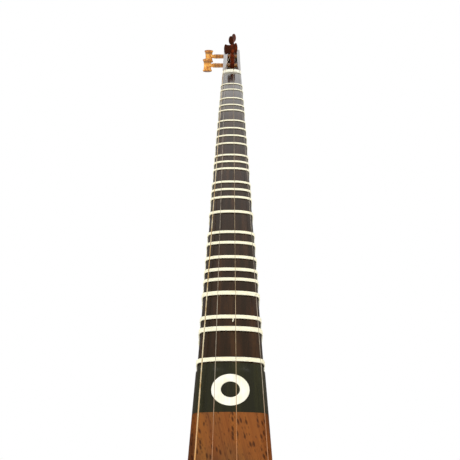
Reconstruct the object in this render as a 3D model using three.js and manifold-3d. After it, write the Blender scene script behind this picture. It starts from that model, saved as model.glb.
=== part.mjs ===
// A setar: a Persian long-necked lute with a staved bowl, four strings and 25 tied gut frets.
// Millimetres. +Z runs from the tail to the head, the soundboard faces -Y, and +X is on the right
// of someone who faces the soundboard. The origin lies on the tailpiece's flat end, in the plane
// where the soundboard meets the bowl. A station is a distance from the nut towards the tail.

import * as THREE from 'three';
import { mergeVertices } from 'three/addons/utils/BufferGeometryUtils.js';
import Module from 'manifold-3d';

const wasm = await Module();
wasm.setup();

// Driving dimensions of the whole instrument
const SCALE_LENGTH = 642.5;
const PANEL_LENGTH = 22.1;
const BODY_LENGTH = 274;
const HEAD_LENGTH = 121.5;
const SEAT_GAP = 0.3;
const CUT_OVERRUN = 5;

// Plate: fingerboard, end panel and soundboard share one thickness and one camber that fades out
const PLATE_THICKNESS = 4;
const CAMBER_NUT = 2.2;
const CAMBER_NECK_END = 1.4;
const CAMBER_SEAM = 0.9;
const CAMBER_BELLY = 1.8;
const BOARD_EDGE = 1.2;

// Neck
const NUT_WIDTH = 22.6;
const NECK_END_WIDTH = 29.5;
const NECK_DEPTH_NUT = 16.5;
const NECK_DEPTH_END = 19;
const NECK_FULLNESS = 2.3;
const TENON_WIDTH = 12;
const TENON_DEPTH = 9;
const TENON_LENGTH = 24;
const TENON_TOP = 2.5;

// Nut
const NUT_LENGTH = 6;
const NUT_NOTCH_HALF_WIDTH = 0.75;
const NUT_NOTCH_LIP = 0.35;
const NUT_SHOULDER = 0.8;

// Head
const HEAD_TOP_WIDTH = 23.4;
const HEAD_TOP_DEPTH = 14.5;
const HEAD_FULLNESS = 3.2;
const HEAD_FACE_DROP = 3.2;
const HEAD_ROUND = 9;
const SLOT_WIDTH = 12.7;
const SLOT_DEPTH = 11.5;
const SLOT_OFFSET = 0.65;
const SLOT_CORNER = 2.5;
const SLOT_START = 3;
const SLOT_TOP_WALL = 11;
const HEAD_END_HALF_SHARE = 0.5;
const HEAD_ROUND_SHARES = [0, 0.5, 0.8, 0.95];

// Pegs
const FRONT_PEG_STANDOFF = 21.4;
const SIDE_PEG_STANDOFF = 20.8;
const PEG_PROUD = 1.8;
const PEG_RADIUS_COLLAR = 4.1;
const PEG_RADIUS_HEAD = 3.4;
const PEG_RADIUS_TIP = 2.5;
const PEG_COLLAR_START = 7.6;
const PEG_COLLAR_LENGTH = 2.2;
const PEG_TIP_ROUND = 1;
const HANDLE_LENGTH = 16.8;
const HANDLE_RADIUS_RIM = 6.1;
const HANDLE_RADIUS_FACE = 4.9;
const HANDLE_RADIUS_WAIST = 4.6;
const HANDLE_RIM_THICKNESS = 1.6;
const SIDE_PEG_DEPTH = 6;
const FRONT_WINDING_DEPTH = 2;

// Frets: the gut passes three times over the front, level, and climbs from turn to turn at the back
const GUT_DIAMETER = 0.7;
const FRET_TURN_GAP = 0.42;
const FRET_CLEARANCE = 0.4;

// Bowl
const THROAT_WIDTH = 30.5;
const THROAT_END_WIDTH = 31.4;
const BELLY_WIDTH = 164;
const THROAT_DEPTH = 19.4;
const THROAT_END_DEPTH = 23;
const BELLY_DEPTH = 130;
const THROAT_LENGTH = 44;
const STAVE_THICKNESS = 3;
const STAVE_GAP = 0.3;
const NECK_BLOCK_LENGTH = 46;
const TAIL_BLOCK_WIDTH = 46;
const TAIL_BLOCK_DEPTH = 34;
const TAIL_BLOCK_THICKNESS = 14;
const CAP_THICKNESS = 2;
const CAP_HALF_WIDTH = 30;

// Soundboard details
const BRACE_THICKNESS = 5;
const BRACE_HEIGHT = 7;
const SOUND_HOLE_DIAMETER = 3;
const SOUND_HOLE_CIRCLE = 17;
const RING_DIAMETER = 16;
const RING_HOLE = 8;
const RING_THICKNESS = 1.4;
const RING_CLEARANCE = 0.15;

// Bridge
const BRIDGE_LENGTH = 58;
const BRIDGE_THICKNESS = 3.4;
const BRIDGE_FOOT_LENGTH = 9;
const BRIDGE_FOOT_HEIGHT = 1.7;
const BRIDGE_ARCH_HEIGHT = 2.4;
const BRIDGE_SHOULDER = 4;
const BRIDGE_NOTCH_HALF_WIDTH = 1;
const BRIDGE_NOTCH_LIP = 0.5;
const STRING_HEIGHT_BRIDGE = 6;
const STRING_HEIGHT_NUT = 1.9;

// Tailpiece
const TAILPIECE_WIDTH = 28;
const TAILPIECE_DEPTH = 11;
const TAILPIECE_THICKNESS = 5;
const TAILPIECE_HUG = 4;
const TAILPIECE_LIP = 0.3;
const PIN_DIAMETER = 2.2;
const PIN_HEIGHT = 3;
const PIN_SETBACK = 2.9;
const HOOK_RISE = 1.5;
const HOOK_TAIL = 7;

// Strings
const BASS_DIAMETER = 0.5;
const PLAIN_DIAMETER = 0.3;
const WINDING_SEAT = 0.3;
const WINDING_GAP = 0.45;
const WINDING_LEAD = 1.2;

// Shares and counts
const FRET_CENT_SHARES = [
  127, 186, 272, 337, 388, 483, 550, 614, 679, 773, 825, 878, 977,
  1031, 1086, 1185, 1318, 1384, 1472, 1546, 1603, 1681, 1811, 1874, 2030,
];
const OCTAVE_CENTS_SHARE = 1200;
const NECK_LENGTH_SHARE = 0.69805;
const BELLY_PLACE_SHARE = 0.657;
const BRACE_UPPER_SHARE = 0.4;
const BRACE_LOWER_SHARE = 0.847;
const SOUND_HOLES_SHARE = 0.54;
const RING_PLACE_SHARE = 0.5;
const THROAT_SHARE = 0.1;
const BELLY_SHARE = 0.6;
const STAVE_END_SHARE = 0.972;
const BOWL_TIP_SHARE = 0.99;
const FLARE_START_SHARE = 0.36;
const FLARE_END_SHARE = 0.53;
const FLARE_SWELL_SHARE = 0.026;
const BRIDGE_TOP_SHARE = 0.55;
const HANDLE_FLATNESS_SHARE = 0.56;
const STAVE_COUNT = 9;
const SOUND_HOLE_COUNT = 8;
const SOUND_HOLE_SIDES = 8;
const PIN_SIDES = 10;
const LATHE_SIDES = 12;
const RING_SIDES = 24;
const FRET_TURNS = 3;
const FRET_SIDES = 4;
const FRET_TOP_STEPS = 3;
const WINDING_TURNS = 3;
const WINDING_STEPS = 18;
const WINDING_SIDES = 5;
const STRING_SIDES = 8;
const BACK_STEPS = 8;
const TOP_STEPS = 6;
const THROAT_ROWS = 2;
const FLARE_ROWS = 9;
const TAIL_ROWS = 8;

// Derived places
const NECK_LENGTH = SCALE_LENGTH * NECK_LENGTH_SHARE;
const NUT_Z = NECK_LENGTH + BODY_LENGTH + CAP_THICKNESS + 2 * SEAT_GAP + TAILPIECE_THICKNESS;
const SEAM_STATION = NECK_LENGTH + PANEL_LENGTH;
const THROAT_END = NECK_LENGTH + THROAT_LENGTH;
const BELLY_STATION = NECK_LENGTH + BODY_LENGTH * BELLY_PLACE_SHARE;
const TAIL_STATION = NECK_LENGTH + BODY_LENGTH;
const HEAD_FACE_Y = HEAD_FACE_DROP - PLATE_THICKNESS;
const SLOT_FLOOR_Y = HEAD_FACE_Y + SLOT_DEPTH;
const SHAFT_START = PEG_COLLAR_START + PEG_COLLAR_LENGTH;
const zAt = (station) => NUT_Z - station;
const { lerp } = THREE.MathUtils;

// Finishes
const finish = (color, roughness, metalness = 0) =>
  new THREE.MeshStandardMaterial({ color, roughness, metalness });
const DARK_WALNUT = finish(0x3b2c20, 0.3);
const BLACKWOOD = finish(0x23241e, 0.35);
const MULBERRY = finish(0x814f29, 0.45);
const MULBERRY_DARK = finish(0x6a3b1a, 0.4);
const RAW_WOOD = finish(0xb08a5c, 0.7);
const BONE = finish(0xefe6cf, 0.4);
const GUT = finish(0xf2e8cc, 0.5);
const AMBER_WOOD = finish(0xc8842c, 0.3);
const RED_WOOD = finish(0x5a1c0a, 0.3);
const BOXWOOD = finish(0xa87b45, 0.5);
const BRONZE = finish(0xb98b4a, 0.35, 1);
const STEEL = finish(0xa9a7a2, 0.3, 1);

// Solids from points: every helper returns one closed body with its faces pointing out
function closedBody(points, faces) {
  let volume = 0;
  for (const [a, b, c] of faces) {
    volume += points[a].dot(new THREE.Vector3().crossVectors(points[b], points[c]));
  }
  const outward = volume > 0 ? faces : faces.map(([a, b, c]) => [a, c, b]);
  const geometry = new THREE.BufferGeometry().setFromPoints(points);
  geometry.setIndex(outward.flat());
  geometry.computeVertexNormals();
  return geometry;
}

function capFaces(ring, offset, reversed) {
  const normal = new THREE.Vector3();
  ring.forEach((point, i) => {
    const next = ring[(i + 1) % ring.length];
    normal.add(new THREE.Vector3().crossVectors(point, next));
  });
  const size = [normal.x, normal.y, normal.z].map(Math.abs);
  const drop = size.indexOf(Math.max(...size));
  const [across, up] = [['y', 'z'], ['x', 'z'], ['x', 'y']][drop];
  const flat = ring.map((point) => new THREE.Vector2(point[across], point[up]));
  const turn = Math.sign(THREE.ShapeUtils.area(flat));
  return THREE.ShapeUtils.triangulateShape(flat, []).map(([a, b, c]) => {
    const same = Math.sign(THREE.ShapeUtils.area([flat[a], flat[b], flat[c]])) === turn;
    const forward = same ? [a, b, c] : [a, c, b];
    const face = reversed ? [forward[0], forward[2], forward[1]] : forward;
    return face.map((i) => i + offset);
  });
}

function loft(rings, joinedEnds = false) {
  const count = rings[0].length;
  const faces = [];
  const rows = joinedEnds ? rings.length : rings.length - 1;
  for (let row = 0; row < rows; row++) {
    const next = (row + 1) % rings.length;
    for (let i = 0; i < count; i++) {
      const [a, b] = [row * count + i, row * count + (i + 1) % count];
      const [c, d] = [next * count + i, next * count + (i + 1) % count];
      faces.push([a, b, d], [a, d, c]);
    }
  }
  if (!joinedEnds) {
    const last = rings.length - 1;
    faces.push(...capFaces(rings[0], 0, true), ...capFaces(rings[last], last * count, false));
  }
  return closedBody(rings.flat(), faces);
}

function tube(path, radius, sides) {
  const tangents = path.map((point, i) => {
    const before = path[Math.max(i - 1, 0)];
    const after = path[Math.min(i + 1, path.length - 1)];
    const inward = point.clone().sub(before).normalize();
    const onward = after.clone().sub(point).normalize();
    return inward.add(onward).normalize();
  });
  const across = new THREE.Vector3(1, 0, 0);
  if (Math.abs(tangents[0].x) > Math.SQRT1_2) across.set(0, 1, 0);
  const rings = path.map((point, i) => {
    across.addScaledVector(tangents[i], -across.dot(tangents[i])).normalize();
    const up = new THREE.Vector3().crossVectors(tangents[i], across);
    return Array.from({ length: sides }, (_, k) => {
      const angle = (k / sides) * 2 * Math.PI;
      return point.clone()
        .addScaledVector(across, radius * Math.cos(angle))
        .addScaledVector(up, radius * Math.sin(angle));
    });
  });
  return loft(rings);
}

function box(x0, x1, y0, y1, z0, z1) {
  const geometry = new THREE.BoxGeometry(x1 - x0, y1 - y0, z1 - z0);
  return geometry.translate((x0 + x1) / 2, (y0 + y1) / 2, (z0 + z1) / 2);
}

function solid(geometry) {
  const bare = geometry.clone();
  bare.deleteAttribute('normal');
  bare.deleteAttribute('uv');
  const merged = mergeVertices(bare);
  return new wasm.Manifold(new wasm.Mesh({
    numProp: 3,
    vertProperties: new Float32Array(merged.attributes.position.array),
    triVerts: new Uint32Array(merged.index.array),
  }));
}

function surface(manifold) {
  const mesh = manifold.getMesh();
  const geometry = new THREE.BufferGeometry();
  geometry.setAttribute('position', new THREE.BufferAttribute(mesh.vertProperties, 3));
  geometry.setIndex(new THREE.BufferAttribute(mesh.triVerts, 1));
  geometry.computeVertexNormals();
  return geometry;
}

const joined = (first, ...others) =>
  others.reduce((whole, geometry) => whole.add(solid(geometry)), solid(first));
const cut = (manifold, ...tools) =>
  tools.reduce((rest, geometry) => rest.subtract(solid(geometry)), manifold);

// Neck sections
const neckHalfWidth = (station) =>
  lerp(NUT_WIDTH, NECK_END_WIDTH, station / NECK_LENGTH) / 2;
const neckDepth = (station) => lerp(NECK_DEPTH_NUT, NECK_DEPTH_END, station / NECK_LENGTH);
const neckCamber = (station) => lerp(CAMBER_NUT, CAMBER_NECK_END, station / NECK_LENGTH);
const plateTopY = (x, halfWidth, camber) => camber * (x / halfWidth) ** 2 - PLATE_THICKNESS;

function backArc(halfWidth, depth, fullness) {
  return Array.from({ length: BACK_STEPS + 1 }, (_, i) => {
    const angle = (i / BACK_STEPS) * Math.PI;
    const [c, s] = [Math.cos(angle), Math.sin(angle)];
    const x = i === BACK_STEPS / 2 ? 0 : halfWidth * Math.sign(c) * Math.abs(c) ** (2 / fullness);
    const y = i % BACK_STEPS === 0 ? 0 : depth * s ** (2 / fullness);
    return new THREE.Vector2(x, y);
  });
}

function plateTop(halfWidth, camber, steps = TOP_STEPS) {
  const reach = halfWidth - BOARD_EDGE;
  const crown = Array.from({ length: steps + 1 }, (_, i) => {
    const x = lerp(-reach, reach, i / steps);
    return new THREE.Vector2(x, plateTopY(x, halfWidth, camber));
  });
  const edgeY = plateTopY(reach, halfWidth, camber) + BOARD_EDGE;
  return [new THREE.Vector2(-halfWidth, edgeY), ...crown, new THREE.Vector2(halfWidth, edgeY)];
}

const atStation = (outline, station) =>
  outline.map((point) => new THREE.Vector3(point.x, point.y, zAt(station)));

function plateRing(station, halfWidth, camber, steps) {
  const under = [new THREE.Vector2(halfWidth, 0), new THREE.Vector2(-halfWidth, 0)];
  return atStation([...plateTop(halfWidth, camber, steps), ...under], station);
}

const neckRing = (station) =>
  atStation(backArc(neckHalfWidth(station), neckDepth(station), NECK_FULLNESS), station);

function fingerboard() {
  const stations = [0, NECK_LENGTH];
  return loft(stations.map((s) => plateRing(s, neckHalfWidth(s), neckCamber(s))));
}

function tenon(clearance) {
  const [half, end] = [TENON_WIDTH / 2 + clearance, NECK_LENGTH + TENON_LENGTH + clearance];
  const [top, bottom] = [TENON_TOP - clearance, TENON_TOP + TENON_DEPTH + clearance];
  return box(-half, half, top, bottom, zAt(end), zAt(NECK_LENGTH - CUT_OVERRUN));
}

function neck() {
  const blank = loft([-NUT_LENGTH, NECK_LENGTH].map(neckRing));
  return surface(joined(blank, tenon(0)));
}

// Strings, from left to right: shares of the half widths of nut, bridge and tailpiece, and the pegs
const STRING_PLACE_SHARES = {
  bass: { nut: -0.889, bridge: -0.455, tail: -0.643, peg: 'side_far', wound: true },
  zang: { nut: -0.676, bridge: -0.207, tail: -0.243, peg: 'side_near', wound: false },
  second: { nut: 0.178, bridge: 0.086, tail: 0.186, peg: 'front_near', wound: false },
  first: { nut: 0.853, bridge: 0.503, tail: 0.643, peg: 'front_far', wound: false },
};
const STRINGS = Object.entries(STRING_PLACE_SHARES).map(([name, share]) => ({
  name,
  peg: share.peg,
  radius: (share.wound ? BASS_DIAMETER : PLAIN_DIAMETER) / 2,
  nut: share.nut * NUT_WIDTH / 2,
  bridge: share.bridge * BRIDGE_LENGTH / 2,
  tail: share.tail * TAILPIECE_WIDTH / 2,
  metal: name === 'bass' || name === 'second' ? BRONZE : STEEL,
}));
const stringNutY = (x) => plateTopY(x, neckHalfWidth(0), CAMBER_NUT) - STRING_HEIGHT_NUT;
const STRING_BRIDGE_Y = -PLATE_THICKNESS - STRING_HEIGHT_BRIDGE;
const HOOK_Y = -PLATE_THICKNESS - HOOK_RISE;

// Pegs: share of the head's length, handle's turn in degrees, share of the slot's half width where
// the string of a side peg winds on
const PEG_PLACE_SHARES = {
  front_near: { along: 0.25927, turn: -19, winding: 0, material: RED_WOOD },
  side_near: { along: 0.46522, turn: -34, winding: -0.4, material: AMBER_WOOD },
  front_far: { along: 0.6707, turn: -84, winding: 0, material: RED_WOOD },
  side_far: { along: 0.83537, turn: -29, winding: -0.2, material: AMBER_WOOD },
};
const PEGS = Object.fromEntries(Object.entries(PEG_PLACE_SHARES).map(([name, share]) => [name, {
  front: name.startsWith('front'),
  station: -NUT_LENGTH - share.along * HEAD_LENGTH,
  turn: share.turn,
  windingX: share.winding * SLOT_WIDTH / 2,
  material: share.material,
}]));
const headHalfWidth = (station) =>
  lerp(NUT_WIDTH, HEAD_TOP_WIDTH, -station / HEAD_LENGTH) / 2;
const headDepth = (station) => lerp(NECK_DEPTH_NUT, HEAD_TOP_DEPTH, -station / HEAD_LENGTH);

function pegPlace(peg) {
  const z = zAt(peg.station);
  if (peg.front) return new THREE.Vector3(SLOT_OFFSET, HEAD_FACE_Y - FRONT_PEG_STANDOFF, z);
  return new THREE.Vector3(
    -headHalfWidth(peg.station) - SIDE_PEG_STANDOFF, HEAD_FACE_Y + SIDE_PEG_DEPTH, z);
}

function pegLength(peg) {
  const { station } = peg;
  if (peg.front) return FRONT_PEG_STANDOFF + headDepth(station) - HEAD_FACE_Y + PEG_PROUD;
  return SIDE_PEG_STANDOFF + 2 * headHalfWidth(station) + PEG_PROUD;
}

function pegBasis(peg) {
  const down = new THREE.Vector3(0, 0, -1);
  const along = peg.front ? new THREE.Vector3(0, 1, 0) : new THREE.Vector3(1, 0, 0);
  const facing = new THREE.Vector3().crossVectors(down, along);
  return new THREE.Matrix4().makeBasis(facing, down, along).setPosition(pegPlace(peg));
}

const shaftRadius = (peg, z) =>
  lerp(PEG_RADIUS_HEAD, PEG_RADIUS_TIP, (z - SHAFT_START) / (pegLength(peg) - SHAFT_START));

const turned = (profile, sides = LATHE_SIDES) =>
  new THREE.LatheGeometry(profile.map(([r, z]) => new THREE.Vector2(r, z)), sides)
    .rotateX(Math.PI / 2);

function pegShaft(peg) {
  const length = pegLength(peg);
  return turned([
    [0, length], [PEG_RADIUS_TIP - PEG_TIP_ROUND, length],
    [PEG_RADIUS_TIP, length - PEG_TIP_ROUND], [PEG_RADIUS_HEAD, SHAFT_START],
    [PEG_RADIUS_COLLAR, SHAFT_START - PEG_COLLAR_LENGTH / 4],
    [PEG_RADIUS_COLLAR, PEG_COLLAR_START + PEG_COLLAR_LENGTH / 4],
    [PEG_RADIUS_TIP, PEG_COLLAR_START], [PEG_RADIUS_TIP, 0], [0, 0],
  ].reverse());
}

function pegHole(peg) {
  const length = pegLength(peg);
  const slope = (PEG_RADIUS_HEAD - PEG_RADIUS_TIP) / (length - SHAFT_START);
  const near = SHAFT_START + SEAT_GAP;
  const far = length + CUT_OVERRUN;
  const radius = (z) => PEG_RADIUS_HEAD - slope * (z - SHAFT_START) + SEAT_GAP;
  const hole = turned([[0, near], [radius(near), near], [radius(far), far], [0, far]]);
  return hole.applyMatrix4(pegBasis(peg));
}

function pegHandle() {
  const half = HANDLE_LENGTH / 2;
  const rim = half - HANDLE_RIM_THICKNESS;
  const side = [
    [0, half], [HANDLE_RADIUS_FACE, half], [HANDLE_RADIUS_RIM, half - HANDLE_RIM_THICKNESS / 3],
    [HANDLE_RADIUS_RIM, rim], [lerp(HANDLE_RADIUS_WAIST, HANDLE_RADIUS_RIM, 1 / 3), rim * 2 / 3],
    [HANDLE_RADIUS_WAIST, rim / 4],
  ];
  const profile = [...side, ...side.map(([r, z]) => [r, -z]).reverse()];
  return turned(profile.reverse()).rotateY(Math.PI / 2).scale(1, HANDLE_FLATNESS_SHARE, 1);
}

// Each winding starts where its string comes in, straight, and runs three turns round the shaft
const pegOfString = (string) => PEGS[string.peg];

function windingStart(string) {
  const peg = pegOfString(string);
  if (peg.front) return FRONT_PEG_STANDOFF + FRONT_WINDING_DEPTH;
  return peg.windingX - pegPlace(peg).x;
}

function windingRadius(string) {
  return shaftRadius(pegOfString(string), windingStart(string)) + WINDING_SEAT + string.radius;
}

function windingPath(string) {
  const [radius, start] = [windingRadius(string), windingStart(string)];
  const pitch = 2 * string.radius + WINDING_GAP;
  const path = [new THREE.Vector3(radius, WINDING_LEAD, start)];
  for (let i = 0; i <= WINDING_TURNS * WINDING_STEPS; i++) {
    const angle = (i / WINDING_STEPS) * 2 * Math.PI;
    const z = start + pitch * (i / WINDING_STEPS);
    path.push(new THREE.Vector3(radius * Math.cos(angle), -radius * Math.sin(angle), z));
  }
  return path;
}

function printLeastGap(name, path, radius, turnSteps) {
  let least = Infinity;
  path.forEach((point, i) => {
    for (let k = i + Math.floor(turnSteps / 2); k < path.length; k++) {
      least = Math.min(least, point.distanceTo(path[k]));
    }
  });
  console.log(`${name}: least gap to itself ${(least - 2 * radius).toFixed(2)} mm`);
}

function stringPath(string) {
  const { radius, nut, bridge, tail } = string;
  const loop = PIN_DIAMETER / 2 + SEAT_GAP + radius;
  const start = new THREE.Vector3(tail + loop, HOOK_Y, PIN_SETBACK + HOOK_TAIL);
  const hook = Array.from({ length: BACK_STEPS + 1 }, (_, i) => {
    const angle = (i / BACK_STEPS) * Math.PI;
    return new THREE.Vector3(
      tail + loop * Math.cos(angle), HOOK_Y, PIN_SETBACK - loop * Math.sin(angle));
  });
  const peg = pegOfString(string);
  const end = new THREE.Vector3(
    windingRadius(string), WINDING_LEAD + SEAT_GAP, windingStart(string));
  return [
    start, ...hook,
    new THREE.Vector3(bridge, STRING_BRIDGE_Y, zAt(SCALE_LENGTH)),
    new THREE.Vector3(nut, stringNutY(nut), zAt(0)),
    end.applyMatrix4(pegBasis(peg)),
  ];
}

function stringAtStation(string, station) {
  const path = stringPath(string);
  const [from, to] = [path[path.length - 2], path[path.length - 1]];
  return from.clone().lerp(to, (zAt(station) - from.z) / (to.z - from.z));
}

// Nut: each notch follows its string, so it falls away towards the head
function nutRing(station) {
  const half = neckHalfWidth(0);
  const points = [];
  for (const string of STRINGS) {
    const { x, y } = stringAtStation(string, station);
    points.push(
      new THREE.Vector2(x - NUT_NOTCH_HALF_WIDTH, y - NUT_NOTCH_LIP),
      new THREE.Vector2(x, y + string.radius + NUT_NOTCH_LIP),
      new THREE.Vector2(x + NUT_NOTCH_HALF_WIDTH, y - NUT_NOTCH_LIP));
  }
  const [left, right] = [points[0], points[points.length - 1]];
  const outline = [
    new THREE.Vector2(-half, 0), new THREE.Vector2(-half, left.y + NUT_SHOULDER), ...points,
    new THREE.Vector2(half, right.y + NUT_SHOULDER), new THREE.Vector2(half, 0),
  ];
  return atStation(outline, station);
}
const nut = () => loft([0, -NUT_LENGTH].map(nutRing));

// Head: a rounded block with an open string slot and four tapered peg holes
function headRing(station, shrink) {
  const half = headHalfWidth(station) * shrink;
  const fullness = lerp(NECK_FULLNESS, HEAD_FULLNESS, -station / HEAD_LENGTH);
  const depth = headDepth(station);
  const middle = (depth + HEAD_FACE_Y) / 2;
  const shrunk = (y) => middle + (y - middle) * shrink;
  const face = [-half, half].map((x) => new THREE.Vector2(x, shrunk(HEAD_FACE_Y)));
  const back = backArc(half, depth, fullness).map((p) => new THREE.Vector2(p.x, shrunk(p.y)));
  return atStation([...face, ...back], station);
}

function slot() {
  const bottom = zAt(-NUT_LENGTH - SLOT_START);
  const top = zAt(-NUT_LENGTH - HEAD_LENGTH + SLOT_TOP_WALL);
  const half = SLOT_WIDTH / 2 - SLOT_CORNER;
  const corners = [
    [half, top - SLOT_CORNER, 0], [-half, top - SLOT_CORNER, 1],
    [-half, bottom + SLOT_CORNER, 2], [half, bottom + SLOT_CORNER, 3],
  ];
  const ringAt = (y) => corners.flatMap(([x, z, quarter]) => [0, 1, 2].map((step) => {
    const angle = (quarter + step / 2) * Math.PI / 2;
    return new THREE.Vector3(
      SLOT_OFFSET + x + SLOT_CORNER * Math.cos(angle), y, z + SLOT_CORNER * Math.sin(angle));
  }));
  return loft([ringAt(HEAD_FACE_Y - CUT_OVERRUN), ringAt(SLOT_FLOOR_Y)]);
}

function head() {
  const end = -NUT_LENGTH - HEAD_LENGTH;
  const rings = [headRing(-NUT_LENGTH, 1)];
  for (const share of HEAD_ROUND_SHARES) {
    const shrink = lerp(HEAD_END_HALF_SHARE, 1, Math.sqrt(1 - share ** 2));
    rings.push(headRing(end + HEAD_ROUND * (1 - share), shrink));
  }
  rings.push(headRing(end, HEAD_END_HALF_SHARE));
  return surface(cut(solid(loft(rings)), slot(), ...Object.values(PEGS).map(pegHole)));
}

// Bowl: half-elliptic sections whose width and depth follow a throat, a flare and a round tail
function bowlProfile(u) {
  if (u <= THROAT_SHARE) {
    const t = u / THROAT_SHARE;
    return [
      lerp(NECK_LENGTH, THROAT_END, t), lerp(THROAT_WIDTH, THROAT_END_WIDTH, t) / 2,
      lerp(THROAT_DEPTH, THROAT_END_DEPTH, t),
    ];
  }
  if (u <= BELLY_SHARE) {
    const t = (u - THROAT_SHARE) / (BELLY_SHARE - THROAT_SHARE);
    const bezier = (a, b, c, d) =>
      a * (1 - t) ** 3 + 3 * b * t * (1 - t) ** 2 + 3 * c * t * t * (1 - t) + d * t ** 3;
    const stations = [
      THROAT_END, lerp(THROAT_END, BELLY_STATION, FLARE_START_SHARE),
      lerp(THROAT_END, BELLY_STATION, FLARE_END_SHARE), BELLY_STATION,
    ];
    const swell = (from, to) => [from, lerp(from, to, FLARE_SWELL_SHARE), to, to];
    return [
      bezier(...stations), bezier(...swell(THROAT_END_WIDTH / 2, BELLY_WIDTH / 2)),
      bezier(...swell(THROAT_END_DEPTH, BELLY_DEPTH)),
    ];
  }
  const angle = ((u - BELLY_SHARE) / (1 - BELLY_SHARE)) * Math.PI / 2;
  return [
    BELLY_STATION + (TAIL_STATION - BELLY_STATION) * Math.sin(angle),
    (BELLY_WIDTH / 2) * Math.cos(angle), BELLY_DEPTH * Math.cos(angle),
  ];
}

function bowlPoint(u, angle, offset) {
  const [station, width, depth] = bowlProfile(u);
  const delta = 1e-5;
  const [before, after] = [bowlProfile(Math.max(u - delta, 0)), bowlProfile(Math.min(u + delta, 1))];
  const [run, widening, deepening] = after.map((value, i) => value - before[i]);
  const c = Math.abs(angle - Math.PI / 2) < delta ? 0 : Math.cos(angle);
  const s = Math.sin(angle) < delta ? 0 : Math.sin(angle);
  const normal = new THREE.Vector3(
    run * depth * c, run * width * s, width * deepening * s * s + depth * widening * c * c);
  const point = new THREE.Vector3(width * c, depth * s, zAt(station));
  point.addScaledVector(normal.normalize(), offset);
  if (u === 0) point.z = zAt(station);
  return point;
}

const STAVE_ROWS = [];
for (let i = 0; i < THROAT_ROWS; i++) STAVE_ROWS.push(THROAT_SHARE * i / THROAT_ROWS);
for (let i = 0; i < FLARE_ROWS; i++) {
  STAVE_ROWS.push(lerp(THROAT_SHARE, BELLY_SHARE, i / FLARE_ROWS));
}
for (let i = 0; i <= TAIL_ROWS; i++) {
  STAVE_ROWS.push(lerp(BELLY_SHARE, STAVE_END_SHARE, i / TAIL_ROWS));
}
const BOWL_ROWS = [...STAVE_ROWS, BOWL_TIP_SHARE];

function bowlSolid(offset, rows = BOWL_ROWS) {
  const steps = 2 * STAVE_COUNT;
  return loft(rows.map((u) => Array.from({ length: steps + 1 },
    (_, i) => bowlPoint(u, (i / steps) * Math.PI, offset))));
}

function stave(index) {
  const [from, to] = [index, index + 1].map((i) => (i / STAVE_COUNT) * Math.PI);
  const rings = STAVE_ROWS.map((u) => {
    const [, width, depth] = bowlProfile(u);
    const arc = (angle) => Math.hypot(width * Math.sin(angle), depth * Math.cos(angle));
    const start = index === 0 ? from : from + STAVE_GAP / 2 / arc(from);
    const stop = index === STAVE_COUNT - 1 ? to : to - STAVE_GAP / 2 / arc(to);
    const middle = (start + stop) / 2;
    return [
      ...[start, middle, stop].map((angle) => bowlPoint(u, angle, 0)),
      ...[stop, middle, start].map((angle) => bowlPoint(u, angle, -STAVE_THICKNESS)),
    ];
  });
  return loft(rings);
}

const bowlInside = () => bowlSolid(-STAVE_THICKNESS - SEAT_GAP);
const within = (geometry) => surface(solid(geometry).intersect(solid(bowlInside())));

function neckBlock() {
  const blank = box(-THROAT_WIDTH, THROAT_WIDTH, 0, 2 * THROAT_DEPTH,
    zAt(NECK_LENGTH + NECK_BLOCK_LENGTH), zAt(NECK_LENGTH));
  return surface(cut(solid(blank).intersect(solid(bowlInside())), tenon(SEAT_GAP)));
}

function tailBlock() {
  const half = TAIL_BLOCK_WIDTH / 2;
  const inner = TAIL_STATION - STAVE_THICKNESS - TAIL_BLOCK_THICKNESS;
  return within(box(-half, half, 0, TAIL_BLOCK_DEPTH, zAt(TAIL_STATION), zAt(inner)));
}

function brace(share) {
  const half = BRACE_THICKNESS / 2;
  const station = NECK_LENGTH + BODY_LENGTH * share;
  return within(box(-BELLY_WIDTH, BELLY_WIDTH, 0, BRACE_HEIGHT,
    zAt(station + half), zAt(station - half)));
}

function endCap() {
  const share = CAP_HALF_WIDTH / (BELLY_WIDTH / 2);
  const from = lerp(BELLY_SHARE, 1, Math.acos(share) / (Math.PI / 2));
  const rows = [from, ...BOWL_ROWS.filter((u) => u > from)];
  return surface(cut(solid(bowlSolid(SEAT_GAP + CAP_THICKNESS, rows)), bowlSolid(SEAT_GAP)));
}

// Soundboard, end panel and ring
const SEAM_SHARE = THROAT_SHARE * PANEL_LENGTH / THROAT_LENGTH;
const RING_STATION = NECK_LENGTH + PANEL_LENGTH * RING_PLACE_SHARE;

function boardCamber(halfWidth) {
  const share = (halfWidth - THROAT_WIDTH / 2) / ((BELLY_WIDTH - THROAT_WIDTH) / 2);
  return lerp(CAMBER_SEAM, CAMBER_BELLY, share);
}

function soundHole(x, station) {
  const hole = new THREE.CylinderGeometry(
    SOUND_HOLE_DIAMETER / 2, SOUND_HOLE_DIAMETER / 2, 2 * (PLATE_THICKNESS + CUT_OVERRUN),
    SOUND_HOLE_SIDES);
  return hole.translate(x, 0, zAt(station));
}

function soundboard() {
  const rows = [SEAM_SHARE, ...BOWL_ROWS.filter((u) => u > SEAM_SHARE)];
  const plate = loft(rows.map((u) => {
    const [station, width] = bowlProfile(u);
    return plateRing(station, width, boardCamber(width));
  }));
  const centre = NECK_LENGTH + BODY_LENGTH * SOUND_HOLES_SHARE;
  const holes = [soundHole(0, centre)];
  for (let i = 0; i < SOUND_HOLE_COUNT; i++) {
    const angle = (i / SOUND_HOLE_COUNT) * 2 * Math.PI;
    const radius = SOUND_HOLE_CIRCLE / 2;
    holes.push(soundHole(radius * Math.cos(angle), centre + radius * Math.sin(angle)));
  }
  return surface(cut(solid(plate), ...holes));
}

const panelCamber = (station) =>
  lerp(CAMBER_NECK_END, CAMBER_SEAM, (station - NECK_LENGTH) / PANEL_LENGTH);

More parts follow.
